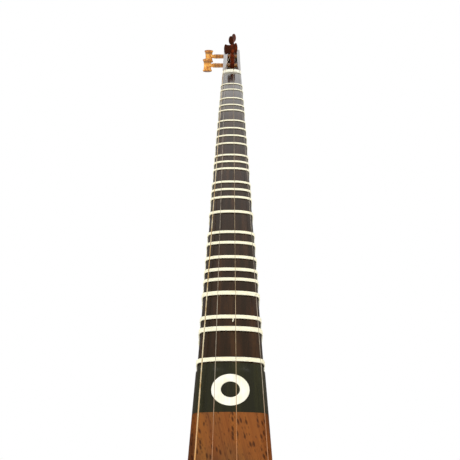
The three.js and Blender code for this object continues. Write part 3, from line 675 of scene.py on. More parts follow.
class Shape:
    """Points, faces and point attributes of one mesh under construction, in millimetres."""

    def __init__(self, rings: Sequence[Ring], cap: Cap = Cap.FAN,
                 edge: Sequence[Sequence[float]] | None = None,
                 grain: Sequence[Ring] | None = None) -> None:
        """Skins a row of closed rings with the same number of points.

        Args:
            rings: the rings.
            cap: how both ends are closed.
            edge: how much painted shade each point of each ring gets, 0 to 1, mostly near edges.
            grain: place in the wood of each point of each ring.
        """
        count, last = len(rings[0]), len(rings) - 1
        self.points = [point for ring in rings for point in ring]
        self.grain = [point for ring in grain or rings for point in ring]
        self.edge = [mark for marks in edge or [[0.0] * count] * len(rings) for mark in marks]
        self.faces = [(a + i, a + (i + 1) % count, a + count + (i + 1) % count, a + count + i)
                      for a in range(0, last * count, count) for i in range(count)]
        for start in (0, last * count):
            end = start + count - 1
            if cap is Cap.FAN:
                self.faces.append(tuple(range(start, end + 1)))
            elif cap is Cap.ZIP:
                self.faces += [(start + i, start + i + 1, end - 1 - i, end - i)
                               for i in range(count // 2 - 1)]

    def piece(self, name: str, material: Finish | None = None) -> Piece:
        """Makes the object.

        Args:
            name: the object's name.
            material: its finish.

        Returns:
            The object, at the origin, with its faces pointing outwards.
        """
        mesh = bpy.data.meshes.new(name)
        mesh.from_pydata([point * MM for point in self.points], [], self.faces)
        # The edge attribute carries each point's painted shade.
        painted_shade = mesh.attributes.new("edge", "FLOAT", "POINT")
        painted_shade.data.foreach_set("value", self.edge)
        grain = mesh.attributes.new("grain", "FLOAT_VECTOR", "POINT")
        grain.data.foreach_set("vector", [c * MM for point in self.grain for c in point])
        shell = bmesh.new()
        shell.from_mesh(mesh)
        bmesh.ops.remove_doubles(shell, verts=shell.verts, dist=WELD)
        bmesh.ops.recalc_face_normals(shell, faces=shell.faces)
        shell.to_mesh(mesh)
        shell.free()
        smooth_by_angle(mesh)
        if material:
            mesh.materials.append(material)
        return put_in_scene(name, mesh)


def turned(profile: Sequence[Pair], place: Matrix, edge: Sequence[float] | None = None,
           steps: int = 48) -> Shape:
    """Turns a profile round the place's third axis.

    Args:
        profile: radius and height pairs, from one end to the other; both ends are closed.
        place: where the turned body goes.
        edge: painted shade of each point of the profile, 0 to 1.
        steps: sides of the round.

    Returns:
        The turned body.
    """
    circle = [(math.cos(angle), math.sin(angle)) for angle in divide(2 * math.pi, steps)[:-1]]
    grain = [[Vector((radius * c, radius * s, height)) for c, s in circle]
             for radius, height in profile]
    rings = [[place @ point for point in ring] for ring in grain]
    painted_shade = [[mark] * steps for mark in edge] if edge else None
    return Shape(rings, edge=painted_shade, grain=grain)


class Stand:
    """Puts finished pieces on the frame and reports them."""

    def __init__(self) -> None:
        """Starts with no pieces."""
        self.count = 0

    def add(self, piece: Piece, node: str, slot: str, body: str = "instrument") -> None:
        """Makes a piece ride on a body in place of a CAD node.

        Args:
            piece: the finished object.
            node: the CAD node that it replaces.
            slot: the record's material slot; not used.
            body: the CAD body that carries it.
        """
        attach(piece, body)
        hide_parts(node)
        self.count += 1
        log.info("%s: %d faces, on %s", piece.name, len(piece.data.polygons), body)

    def dress(self, node: str, material: Finish) -> None:
        """Gives a CAD node that stays as it is a better finish.

        Args:
            node: the CAD node.
            material: its new finish.
        """
        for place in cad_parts[node].material_slots:
            place.material = material
        log.info("%s: keeps its solid, finished in %s", node, material.name)


# Trees of Geometry Nodes


class Rig:
    """A Geometry Nodes tree with named inputs that ends in Realize Instances and Set Material."""

    def __init__(self, name: str, inputs: dict[str, str]) -> None:
        """Makes the tree and its interface.

        Args:
            name: the tree's name.
            inputs: socket type of each named input.
        """
        self.tree = bpy.data.node_groups.new(name, "GeometryNodeTree")
        interface = self.tree.interface
        interface.new_socket("Geometry", in_out="OUTPUT", socket_type="NodeSocketGeometry")
        self.keys = {}
        kinds = {"Geometry": "Geometry", **inputs, "Material": "Material"}
        for label, kind in kinds.items():
            item = interface.new_socket(label, in_out="INPUT", socket_type=f"NodeSocket{kind}")
            self.keys[label] = item.identifier
        self.graph = Graph(self.tree)
        self.input = self.graph.node("NodeGroupInput").outputs

    def close(self, geometry: Socket) -> None:
        """Ends the tree in real, finished geometry.

        Args:
            geometry: what the tree has made.
        """
        g = self.graph
        real = g.out("GeometryNodeRealizeInstances", {0: geometry})
        smooth = g.out("GeometryNodeSetShadeSmooth", {0: real})
        done = g.out("GeometryNodeSetMaterial", {
            "Geometry": smooth, "Material": self.input["Material"]})
        g.node("NodeGroupOutput", {0: done})

    def run(self, piece: Piece, material: Finish, **values: Any) -> None:
        """Runs the tree on a piece and keeps the result as its plain mesh.

        Args:
            piece: the object, whose mesh is the tree's geometry.
            material: its finish.
            values: the tree's inputs; an input's spaces are written as underscores.
        """
        modifier = piece.modifiers.new(self.tree.name, "NODES")
        modifier.node_group = self.tree
        for label, value in {**values, "Material": material}.items():
            modifier[self.keys[label.replace("_", " ")]] = value
        settle(piece)


def sweep_rig() -> Rig:
    """Builds the tree that lays wire or gut along a path and notes how far along it is.

    Returns:
        The tree.
    """
    waves_per_metre = 160.0
    rig = Rig("strand_along_path", {
        "Strand Radius": "Float", "Sides": "Int", "Waviness": "Float", "Seed": "Float"})
    g, given = rig.graph, rig.input
    path = g.out("GeometryNodeMeshToCurve", {0: given["Geometry"]})
    place = g.out("GeometryNodeInputPosition")
    unrest = g.node("ShaderNodeTexNoise", {
        "Vector": place, "W": given["Seed"], "Scale": waves_per_metre, "Detail": 1.0},
        noise_dimensions="4D").outputs["Color"]
    centred = g.out("ShaderNodeVectorMath", {0: unrest, 1: (0.5, 0.5, 0.5)},
                    operation="SUBTRACT")
    offset = g.out("ShaderNodeVectorMath", {0: centred, "Scale": given["Waviness"]},
                   operation="SCALE")
    waved = g.out("GeometryNodeSetPosition", {"Geometry": path, "Offset": offset})
    length = g.node("GeometryNodeSplineParameter").outputs["Length"]
    grain = g.combine(0.0, 0.0, length)
    noted = g.out("GeometryNodeStoreNamedAttribute", {
        "Geometry": waved, "Name": "grain", "Value": grain},
        data_type="FLOAT_VECTOR", domain="POINT")
    section = g.out("GeometryNodeCurvePrimitiveCircle", {
        "Resolution": given["Sides"], "Radius": given["Strand Radius"]})
    strand = g.out("GeometryNodeCurveToMesh", {
        "Curve": noted, "Profile Curve": section, "Fill Caps": True})
    rig.close(strand)
    return rig


def hole_rig() -> Rig:
    """Builds the tree that drills a ring of holes and one in its middle through a board.

    Returns:
        The tree.
    """
    rig = Rig("ring_of_holes", {
        "Holes": "Int", "Circle Radius": "Float", "Hole Radius": "Float", "Depth": "Float",
        "Centre": "Vector", "Turn": "Rotation"})
    g, given = rig.graph, rig.input
    circle = g.out("GeometryNodeMeshCircle", {
        "Vertices": given["Holes"], "Radius": given["Circle Radius"]})
    middle = g.out("GeometryNodeMeshLine", {"Count": 1})
    places = g.node("GeometryNodeJoinGeometry", {0: circle})
    g.tree.links.new(middle, places.inputs[0])
    drill = g.out("GeometryNodeMeshCylinder", {
        "Vertices": ROUND_SIDES, "Radius": given["Hole Radius"], "Depth": given["Depth"]})
    drills = g.out("GeometryNodeInstanceOnPoints", {
        "Points": places.outputs[0], "Instance": drill})
    real = g.out("GeometryNodeRealizeInstances", {0: drills})
    placed = g.out("GeometryNodeTransform", {
        "Geometry": real, "Translation": given["Centre"], "Rotation": given["Turn"]})
    cut = g.out("GeometryNodeMeshBoolean", {
        "Mesh 1": given["Geometry"], "Mesh 2": placed},
        operation=Work.CUT.value, solver="EXACT")
    rig.close(cut)
    return rig


def pin_rig() -> Rig:
    """Builds the tree that sets a round-headed pin on each point of a mesh.

    Returns:
        The tree.
    """
    stem_share, head_flatness = 0.82, 0.5
    rig = Rig("round_headed_pins", {
        "Pin Radius": "Float", "Pin Length": "Float", "Turn": "Rotation"})
    g, given = rig.graph, rig.input
    radius = Num(g, given["Pin Radius"])
    stem = g.out("GeometryNodeMeshCylinder", {
        "Vertices": ROUND_SIDES, "Radius": radius * stem_share, "Depth": given["Pin Length"]})
    ball = g.out("GeometryNodeMeshUVSphere", {
        "Segments": ROUND_SIDES, "Rings": ROUND_SIDES // 2, "Radius": radius})
    end = g.combine(0.0, 0.0, Num(g, given["Pin Length"]) * 0.5)
    head = g.out("GeometryNodeTransform", {
        "Geometry": ball, "Translation": end, "Scale": (1.0, 1.0, head_flatness)})
    pin = g.node("GeometryNodeJoinGeometry", {0: stem})
    g.tree.links.new(head, pin.inputs[0])
    pins = g.out("GeometryNodeInstanceOnPoints", {
        "Points": given["Geometry"], "Instance": pin.outputs[0], "Rotation": given["Turn"]})
    rig.close(pins)
    return rig


def path_piece(name: str, paths: Sequence[Ring]) -> Piece:
    """Makes an object of bare paths for the tree that lays strands.

    Args:
        name: the object's name.
        paths: points in millimetres.

    Returns:
        The object.
    """
    points, edges = [], []
    for path in paths:
        first = len(points)
        points.extend(point * MM for point in path)
        edges.extend((first + i, first + i + 1) for i in range(len(path) - 1))
    mesh = bpy.data.meshes.new(name)
    mesh.from_pydata(points, edges, [])
    return put_in_scene(name, mesh)


# The instrument's plan, shared by its pieces


@dataclass(frozen=True)
class Plan:
    """The instrument's driving sizes, and the curves that follow from them."""

    scale_length: float = 642.5
    neck_share: float = 0.69805
    panel_length: float = 22.1
    panel_lap: float = 3.3
    body_length: float = 274.0
    head_length: float = 121.5
    nut_length: float = 6.0
    nut_width: float = 22.6
    neck_end_width: float = 29.5
    neck_depth_nut: float = 16.5
    neck_depth_end: float = 19.0
    neck_fullness: float = 2.3
    plate: float = 4.0
    camber_nut: float = 2.2
    camber_neck_end: float = 1.4
    camber_seam: float = 0.9
    camber_belly: float = 1.8
    crown_power: float = 2.6
    throat_width: float = 30.5
    throat_end_width: float = 31.4
    belly_width: float = 164.0
    throat_depth: float = 19.4
    throat_end_depth: float = 23.0
    belly_depth: float = 130.0
    throat_length: float = 44.0
    belly_place_share: float = 0.657
    throat_share: float = 0.1
    belly_share: float = 0.6
    swell_share: float = 0.026
    flare_shares: Pair = (0.36, 0.53)
    stave_end_share: float = 0.972
    seat_gap: float = 0.3
    cap_thickness: float = 2.0
    tail_thickness: float = 5.0

    @property
    def neck_length(self) -> float:
        """Distance from the nut to the body."""
        return self.scale_length * self.neck_share

    @property
    def nut_z(self) -> float:
        """Height of the nut's lower face above the tailpiece's flat end."""
        return (self.neck_length + self.body_length + self.cap_thickness + 2 * self.seat_gap
                + self.tail_thickness)

    def z(self, station: float) -> float:
        """Height of a station."""
        return self.nut_z - station

    def neck_half(self, station: float) -> float:
        """Half the fingerboard's width at a station."""
        return lerp(self.nut_width, self.neck_end_width, station / self.neck_length) / 2

    def neck_depth(self, station: float) -> float:
        """Depth of the neck behind the fingerboard at a station."""
        return lerp(self.neck_depth_nut, self.neck_depth_end, station / self.neck_length)

    def neck_camber(self, station: float) -> float:
        """How far the fingerboard falls from its middle to its sides."""
        return lerp(self.camber_nut, self.camber_neck_end, station / self.neck_length)

    def board_camber(self, half: float) -> float:
        """Camber of the soundboard where it has this half width."""
        share = (half - self.throat_width / 2) / ((self.belly_width - self.throat_width) / 2)
        return lerp(self.camber_seam, self.camber_belly, share)

    def panel_camber(self, station: float) -> float:
        """Camber of the black panel at a station."""
        share = (station - self.neck_length) / self.panel_length
        return lerp(self.camber_neck_end, self.camber_seam, share)

    def plate_y(self, x: float, half: float, camber: float) -> float:
        """Place of a cambered board's front, x from its middle."""
        return camber * abs(x / half) ** self.crown_power - self.plate

    def bowl(self, u: float) -> Triple:
        """Follows the bowl from the neck joint to the tail.

        Args:
            u: 0 at the joint, 1 at the tail.

        Returns:
            Station, half width and depth.
        """
        throat_end = self.neck_length + self.throat_length
        belly = self.neck_length + self.body_length * self.belly_place_share
        if u <= self.throat_share:
            t = u / self.throat_share
            return (lerp(self.neck_length, throat_end, t),
                    lerp(self.throat_width, self.throat_end_width, t) / 2,
                    lerp(self.throat_depth, self.throat_end_depth, t))
        if u <= self.belly_share:
            t = (u - self.throat_share) / (self.belly_share - self.throat_share)

            def curve(a: float, b: float, c: float, d: float) -> float:
                """Follows a cubic curve through its four controls."""
                return (a * (1 - t) ** 3 + 3 * b * t * (1 - t) ** 2 + 3 * c * t * t * (1 - t)
                        + d * t ** 3)

            def swell(start: float, end: float) -> float:
                """Swells late from the throat to the belly."""
                return curve(start, lerp(start, end, self.swell_share), end, end)

            flare = [lerp(throat_end, belly, share) for share in self.flare_shares]
            return (curve(throat_end, *flare, belly),
                    swell(self.throat_end_width / 2, self.belly_width / 2),
                    swell(self.throat_end_depth, self.belly_depth))
        angle = (u - self.belly_share) / (1 - self.belly_share) * math.pi / 2
        tail = self.neck_length + self.body_length
        return (lerp(belly, tail, math.sin(angle)), self.belly_width / 2 * math.cos(angle),
                self.belly_depth * math.cos(angle))

    def bowl_slope(self, u: float) -> Triple:
        """How station, half width and depth change at a place along the bowl."""
        before, after = self.bowl(max(u - TINY, 0)), self.bowl(min(u + TINY, 1))
        return tuple(b - a for a, b in zip(before, after))

    def bowl_point(self, u: float, angle: float, offset: float) -> Vector:
        """Finds a point on or beside the bowl's outside.

        Args:
            u: place along the bowl.
            angle: 0 at the right rim, a half turn at the left rim.
            offset: distance outwards.

        Returns:
            The point.
        """
        station, half, depth = self.bowl(u)
        run, widening, deepening = self.bowl_slope(u)
        c, s = half_turn(angle)
        normal = Vector((run * depth * c, run * half * s,
                         half * deepening * s * s + depth * widening * c * c)).normalized()
        point = Vector((half * c, depth * s, self.z(station))) + normal * offset
        if u == 0:
            point.z = self.z(station)
        return point

    def back_arc(self, half: float, depth: float, fullness: float, steps: int) -> list[Pair]:
        """Rounds the back of the neck or head from right to left.

        Args:
            half: half width.
            depth: depth.
            fullness: 2 for an ellipse, more for a fuller back.
            steps: number of sides.

        Returns:
            Points across and deep.
        """
        arc = []
        for angle in divide(math.pi, steps):
            c, s = half_turn(angle)
            arc.append((math.copysign(half * abs(c) ** (2 / fullness), c),
                        depth * s ** (2 / fullness)))
        return arc


PLAN = Plan()


def front_outline(half: float, camber: float, radius: float, crown_steps: int = 12,
                  edge_steps: int = 5) -> list[Triple]:
    """Draws a board's front from its left side over the crown to its right side.

    Args:
        half: half width.
        camber: fall from the middle to the sides.
        radius: round of the edges.
        crown_steps: steps over the crown.
        edge_steps: steps round each edge.

    Returns:
        Points across and deep, with each one's painted shade, 0 to 1, rising over the edge.
    """
    reach = half - radius
    right = []
    # Painted shade rises from none to full halfway round each rounded edge.
    for i, angle in enumerate(divide(math.pi / 2, edge_steps)):
        x = reach + radius * math.sin(angle)
        y = PLAN.plate_y(x, half, camber) + radius * (1 - math.cos(angle))
        right.append((x, y, min(2 * i / edge_steps, 1.0)))
    crown = [(x, PLAN.plate_y(x, half, camber), 0.0)
             for x in spread(-reach, reach, crown_steps)[1:-1]]
    return [(-x, y, painted_shade) for x, y, painted_shade in reversed(right)] + crown + right


def board_section(station: float, half: float, camber: float,
                  radius: float) -> tuple[Ring, list[float]]:
    """Draws a neck board's section at a station, and each point's painted shade at its edges."""
    line = [(-half, -FOOT_GAP, 1.0), *front_outline(half, camber, radius), (half, -FOOT_GAP, 1.0)]
    return [Vector((x, y, PLAN.z(station))) for x, y, _ in line], [mark for _, _, mark in line]


def block_section(half: float, front: float, back: float, z: float) -> Ring:
    """Draws the rectangular section of a block at a height."""
    corners = ((-half, front), (half, front), (half, back), (-half, back))
    return [Vector((x, y, z)) for x, y in corners]


@dataclass
class Fingerboard:
    """The dark cambered board under the strings, and the neck behind it."""

    edge_round: float = 1.3
    rows: int = 40
    back_steps: int = 40
    tenon_width: float = 12.0
    tenon_depth: float = 9.0
    tenon_length: float = 24.0
    tenon_root: float = 5.0
    tenon_top: float = 2.5

    def outline(self, station: float) -> list[Triple]:
        """Draws the board's front at a station."""
        return front_outline(PLAN.neck_half(station), PLAN.neck_camber(station), self.edge_round)

    def board(self) -> Shape:
        """Skins the board from the nut to the panel.

        Returns:
            The shape.
        """
        rings, painted_shade = zip(*(
            board_section(station, PLAN.neck_half(station), PLAN.neck_camber(station),
                          self.edge_round)
            for station in divide(PLAN.neck_length - PLAN.panel_lap, self.rows)))
        return Shape(rings, Cap.ZIP, painted_shade)

    def neck(self) -> Shape:
        """Skins the neck from behind the nut to the body.

        Returns:
            The shape.
        """
        rings = []
        for station in spread(-PLAN.nut_length, PLAN.neck_length, self.rows):
            arc = PLAN.back_arc(PLAN.neck_half(station), PLAN.neck_depth(station),
                                PLAN.neck_fullness, self.back_steps)
            rings.append([Vector((x, y, PLAN.z(station))) for x, y in arc])
        return Shape(rings)

    def tenon(self) -> Shape:
        """Makes the tenon that the body's block holds.

        Returns:
            The shape.
        """
        ends = (PLAN.neck_length - self.tenon_root, PLAN.neck_length + self.tenon_length)
        return Shape([
            block_section(self.tenon_width / 2, self.tenon_top,
                          self.tenon_top + self.tenon_depth, PLAN.z(station))
            for station in ends])

    def build(self, stand: Stand, board_wood: Finish, neck_wood: Finish) -> None:
        """Builds and dresses the board and the neck.

        Args:
            stand: takes the finished pieces.
            board_wood: the board's finish.
            neck_wood: the neck's finish.
        """
        stand.add(self.board().piece("fingerboard_wood", board_wood), "fingerboard",
                  "fingerboard_wood")
        neck = self.neck().piece("neck_wood")
        carve(neck, [self.tenon().piece("tenon")], neck_wood, Work.JOIN)
        stand.add(neck, "neck", "dark_walnut")


@dataclass
class Head:
    """The hollowed block beyond the nut, with its string slot and peg holes."""

    face_drop: float = 3.2
    fullness: float = 3.2
    top_width: float = 21.8
    top_depth: float = 14.5
    end_round: float = 9.0
    end_share: float = 0.5
    end_steps: int = 14
    edge_round: float = 0.6
    slot_width: float = 12.7
    slot_depth: float = 11.5
    slot_offset: float = 0.65
    slot_corner: float = 2.5
    corner_steps: int = 8
    slot_start: float = 3.0
    slot_top_wall: float = 11.0
    slot_lip: float = 0.45
    floor_round: float = 1.0
    bend_share: float = 0.3
    overrun: float = 2.0
    front_steps: int = 4
    back_steps: int = 40

    @property
    def face_y(self) -> float:
        """Place of the head's front face."""
        return self.face_drop - PLAN.plate

    def half(self, station: float) -> float:
        """Half the head's width at a station."""
        return lerp(PLAN.nut_width, self.top_width, -station / PLAN.head_length) / 2

    def depth(self, station: float) -> float:
        """Place of the head's back at a station."""
        return lerp(PLAN.neck_depth_nut, self.top_depth, -station / PLAN.head_length)

    def ring(self, station: float, shrink: float) -> Ring:
        """Draws the head's section.

        Args:
            station: place along the head.
            shrink: size of the section, 1 where the end isn't rounded.

        Returns:
            The section's points.
        """
        half, depth = self.half(station) * shrink, self.depth(station)
        middle = (depth + self.face_y) / 2
        fullness = lerp(PLAN.neck_fullness, self.fullness, -station / PLAN.head_length)
        back = PLAN.back_arc(half, depth, fullness, self.back_steps)
        front = front_outline(half, 0.0, self.edge_round * shrink, self.front_steps,
                              self.front_steps)
        line = [(x, y + self.face_drop) for x, y, _ in front] + back
        return [Vector((x, middle + (y - middle) * shrink, PLAN.z(station))) for x, y in line]

    def block(self) -> Shape:
        """Skins the block with its rounded end.

        Returns:
            The shape.
        """
        end = -PLAN.nut_length - PLAN.head_length
        rings = [self.ring(station, 1.0)
                 for station in spread(-PLAN.nut_length, end + self.end_round, self.end_steps)]
        for angle in divide(math.pi / 2, self.end_steps)[1:]:
            share = math.sin(angle)
            shrink = lerp(self.end_share, 1.0, math.sqrt(max(1 - share ** 2, 0.0)))
            rings.append(self.ring(end + self.end_round * (1 - share), shrink))
        return Shape(rings)

    def slot(self) -> Shape:
        """Makes the slot's cutter, which flares where the slot's edges are softened.

        Returns:
            The shape.
        """
        low = PLAN.z(-PLAN.nut_length - self.slot_start)
        high = PLAN.z(-PLAN.nut_length - PLAN.head_length + self.slot_top_wall)
        middle = (low + high) / 2
        floor = self.face_y + self.slot_depth
        lip, soft = self.slot_lip, self.floor_round
        bend, turn = self.bend_share * lip, self.bend_share * soft
        levels = [(self.face_y - self.overrun, lip * 2), (self.face_y, lip),
                  (self.face_y + bend, bend), (self.face_y + lip, 0.0),
                  (floor - soft, 0.0), (floor - turn, -turn), (floor, -soft)]
        rings = []
        for y, grow in levels:
            ring = []
            for side, top, start in ((1, 1, 0), (-1, 1, 1), (-1, -1, 2), (1, -1, 3)):
                x = side * (self.slot_width / 2 - self.slot_corner)
                z = top * ((high - low) / 2 - self.slot_corner)
                for share in divide(1.0, self.corner_steps):
                    angle = (start + share) * math.pi / 2
                    radius = self.slot_corner + grow
                    ring.append(Vector((self.slot_offset + x + radius * math.cos(angle), y,
                                        middle + z + radius * math.sin(angle))))
            rings.append(ring)
        return Shape(rings)

    def build(self, stand: Stand, wood: Finish, holes: Sequence[Piece]) -> None:
        """Builds and dresses the head.

        Args:
            stand: takes the finished piece.
            wood: the head's finish.
            holes: cutters for the peg holes.
        """
        head = self.block().piece("head_wood")
        carve(head, [self.slot().piece("slot"), *holes], wood)
        stand.add(head, "head", "dark_walnut")


@dataclass(frozen=True)
class PegPlace:
    """Where one peg sits, how its handle is turned, moved along itself and sized."""

    name: str
    front: bool
    along: float
    turn: float
    winding_share: float
    slot: str
    slide: float = 0.0
    size: float = 1.0


@dataclass
class Pegs:
    """The four tapered pegs with their hammer-shaped handles, and the turns of string on them."""

    head: Head
    front_standoff: float = 21.4
    side_standoff: float = 20.8
    proud: float = 1.8
    side_proud: float = 0.3
    head_radius: float = 2.9
    tip_radius: float = 2.35
    point_radius: float = 0.01
    flatness: float = 0.56
    shaft_start: float = 9.8
    shaft_steps: int = 8
    side_depth: float = 6.0
    front_winding_depth: float = 2.0
    hole_start: float = 0.3
    fit: float = 0.06
    overrun: float = 5.0
    handle: tuple[Pair, ...] = (
        (0.0, 8.4), (2.6, 8.38), (4.2, 8.25), (5.2, 7.98), (5.85, 7.6), (6.1, 7.15), (6.06, 6.8),
        (5.8, 6.35), (5.45, 5.85), (5.15, 5.15), (4.9, 4.2), (4.7, 3.0), (4.6, 1.6), (4.58, 0.6))
    bead: tuple[Pair, ...] = (
        (0.0, 0.0), (0.0, 6.9), (0.05, 7.2), (0.2, 7.45), (0.45, 7.75), (0.6, 8.1), (0.6, 8.5),
        (0.4, 9.0), (0.25, 9.4))
    shoulder: float = 0.1
    dome: tuple[Pair, ...] = ((0.15, 0.45), (0.55, 0.15), (1.1, 0.02))
    dome_start: float = 0.9
    # Painted shade: in the bead's grooves, on front pegs' shafts near the slot, at the handle's
    # rims.
    bead_shades: tuple[Pair, ...] = ((7.4, 7.8), (9.0, 9.9))
    bead_shade: float = 0.7
    slot_shade_rate: float = 3.0
    slot_shade_lag: float = 0.5
    slot_shade_most: float = 0.9
    handle_shade: Pair = (5.2, 6.9)
    places: tuple[PegPlace, ...] = (
        PegPlace("front_near", True, 0.25927, -30, 0.0, "red_peg_wood", -2.2),
        PegPlace("side_near", False, 0.46522, -34, -0.4, "amber_peg_wood"),
        PegPlace("front_far", True, 0.6707, -74, 0.0, "red_peg_wood", 0.0, 0.88),
        PegPlace("side_far", False, 0.83537, -29, -0.2, "amber_peg_wood"))

    def station(self, peg: PegPlace) -> float:
        """Station of a peg's axis."""
        return -PLAN.nut_length - peg.along * PLAN.head_length

    def basis(self, peg: PegPlace) -> Matrix:
        """Places a peg's own axes: its third one runs along the shaft, from the handle inwards.

        Args:
            peg: the peg.

        Returns:
            The matrix from its axes to the frame.
        """
        station = self.station(peg)
        z = PLAN.z(station)
        if peg.front:
            origin = Vector((self.head.slot_offset, self.head.face_y - self.front_standoff, z))
            along = Vector((0, 1, 0))
        else:
            origin = Vector((-self.head.half(station) - self.side_standoff,
                             self.head.face_y + self.side_depth, z))
            along = Vector((1, 0, 0))
        down = Vector((0, 0, -1))
        columns = (down.cross(along), down, along, origin)
        return Matrix([[*(column[i] for column in columns)] for i in range(3)] + [[0, 0, 0, 1]])

    def length(self, peg: PegPlace) -> float:
        """Length of a peg from the middle of its handle to its tip.

        Args:
            peg: the peg.

        Returns:
            The length.
        """
        station = self.station(peg)
        if peg.front:
            return self.front_standoff + self.head.depth(station) - self.head.face_y + self.proud
        return self.side_standoff + 2 * self.head.half(station) + self.side_proud

    def shaft_radius(self, peg: PegPlace, along: float) -> float:
        """Radius of the tapered shaft at a distance from the handle's middle."""
        share = (along - self.shaft_start) / (self.length(peg) - self.shaft_start)
        return lerp(self.head_radius, self.tip_radius, share)

    def shaft(self, peg: PegPlace) -> Shape:
        """Turns the shaft with its beads and domed tip.

        Args:
            peg: the peg.

        Returns:
            The shape.
        """
        length, tip = self.length(peg), self.tip_radius
        taper = spread(self.shaft_start, length - self.dome_start, self.shaft_steps)[1:]
        profile = [
            *((tip + out, z) for out, z in self.bead),
            (self.head_radius - self.shoulder, self.shaft_start - self.shoulder),
            (self.head_radius, self.shaft_start),
            *((self.shaft_radius(peg, z), z) for z in taper),
            *((tip - inset, length - left) for inset, left in self.dome),
            (self.point_radius, length)]
        return turned(profile, self.basis(peg), [self.shade(peg, z) for _, z in profile])

    def shade(self, peg: PegPlace, z: float) -> float:
        """Tells the shaft's painted shade: in the bead grooves, and near the slot on front pegs.

        Args:
            peg: the peg.
            z: distance from the handle's middle.

        Returns:
            The shade, 0 to 1.
        """
        # Painted shade in the bead's grooves.
        if any(low < z < high for low, high in self.bead_shades):
            return self.bead_shade
        share = (z - self.shaft_start) / (self.length(peg) - self.shaft_start)
        # Painted shade: front pegs' shafts darken as they go into the head's slot.
        slot_shade = min(max(self.slot_shade_rate * share - self.slot_shade_lag, 0.0), self.slot_shade_most)
        return slot_shade if peg.front else 0.0

    def grip(self, peg: PegPlace) -> Shape:
        """Turns the hammer-shaped handle.

        Args:
            peg: the peg.

        Returns:
            The shape.
        """
        profile = [*self.handle, *((radius, -z) for radius, z in reversed(self.handle))]
        # Painted shade darkens the handle towards both rims.
        start, stop = self.handle_shade
        painted_shade = [min(max((abs(z) - start) / (stop - start), 0.0), 1.0) for _, z in profile]
        turn = Matrix.Rotation(math.radians(peg.turn), 4, "Z")
        across = Matrix.Rotation(math.pi / 2, 4, "Y")
        flat = Matrix.Diagonal((1.0, self.flatness * peg.size, peg.size, 1.0))
        slide = Matrix.Translation((peg.slide, 0.0, 0.0))
        return turned(profile, self.basis(peg) @ turn @ slide @ flat @ across, painted_shade)

    def hole(self, peg: PegPlace) -> Piece:
        """Makes the cutter for a peg's tapered hole.

        Args:
            peg: the peg.

        Returns:
            The cutter.
        """
        near, far = self.shaft_start + self.hole_start, self.length(peg) + self.overrun
        profile = [(self.point_radius, near), (self.shaft_radius(peg, near) + self.fit, near),
                   (self.shaft_radius(peg, far) + self.fit, far), (self.point_radius, far)]
        return turned(profile, self.basis(peg)).piece(f"hole_{peg.name}")

    def holes(self) -> list[Piece]:
        """Makes the cutters for all peg holes."""
        return [self.hole(peg) for peg in self.places]

    def build(self, stand: Stand, woods: dict[str, Finish]) -> None:
        """Builds and dresses the pegs.

        Args:
            stand: takes the finished pieces.
            woods: a finish for each material slot of the pegs.
        """
        for peg in self.places:
            piece = self.shaft(peg).piece(f"peg_{peg.name}_wood")
            carve(piece, [self.grip(peg).piece("grip")], woods[peg.slot], Work.JOIN)
            stand.add(piece, f"peg_{peg.name}", peg.slot, f"{peg.name}_peg")


@dataclass(frozen=True)
class StringPlace:
    """Where one string runs: shares of the half widths of nut, bridge and tailpiece."""

    name: str
    nut: float
    bridge: float
    tail: float
    peg: str
    diameter: float
    slot: str
    turns: int


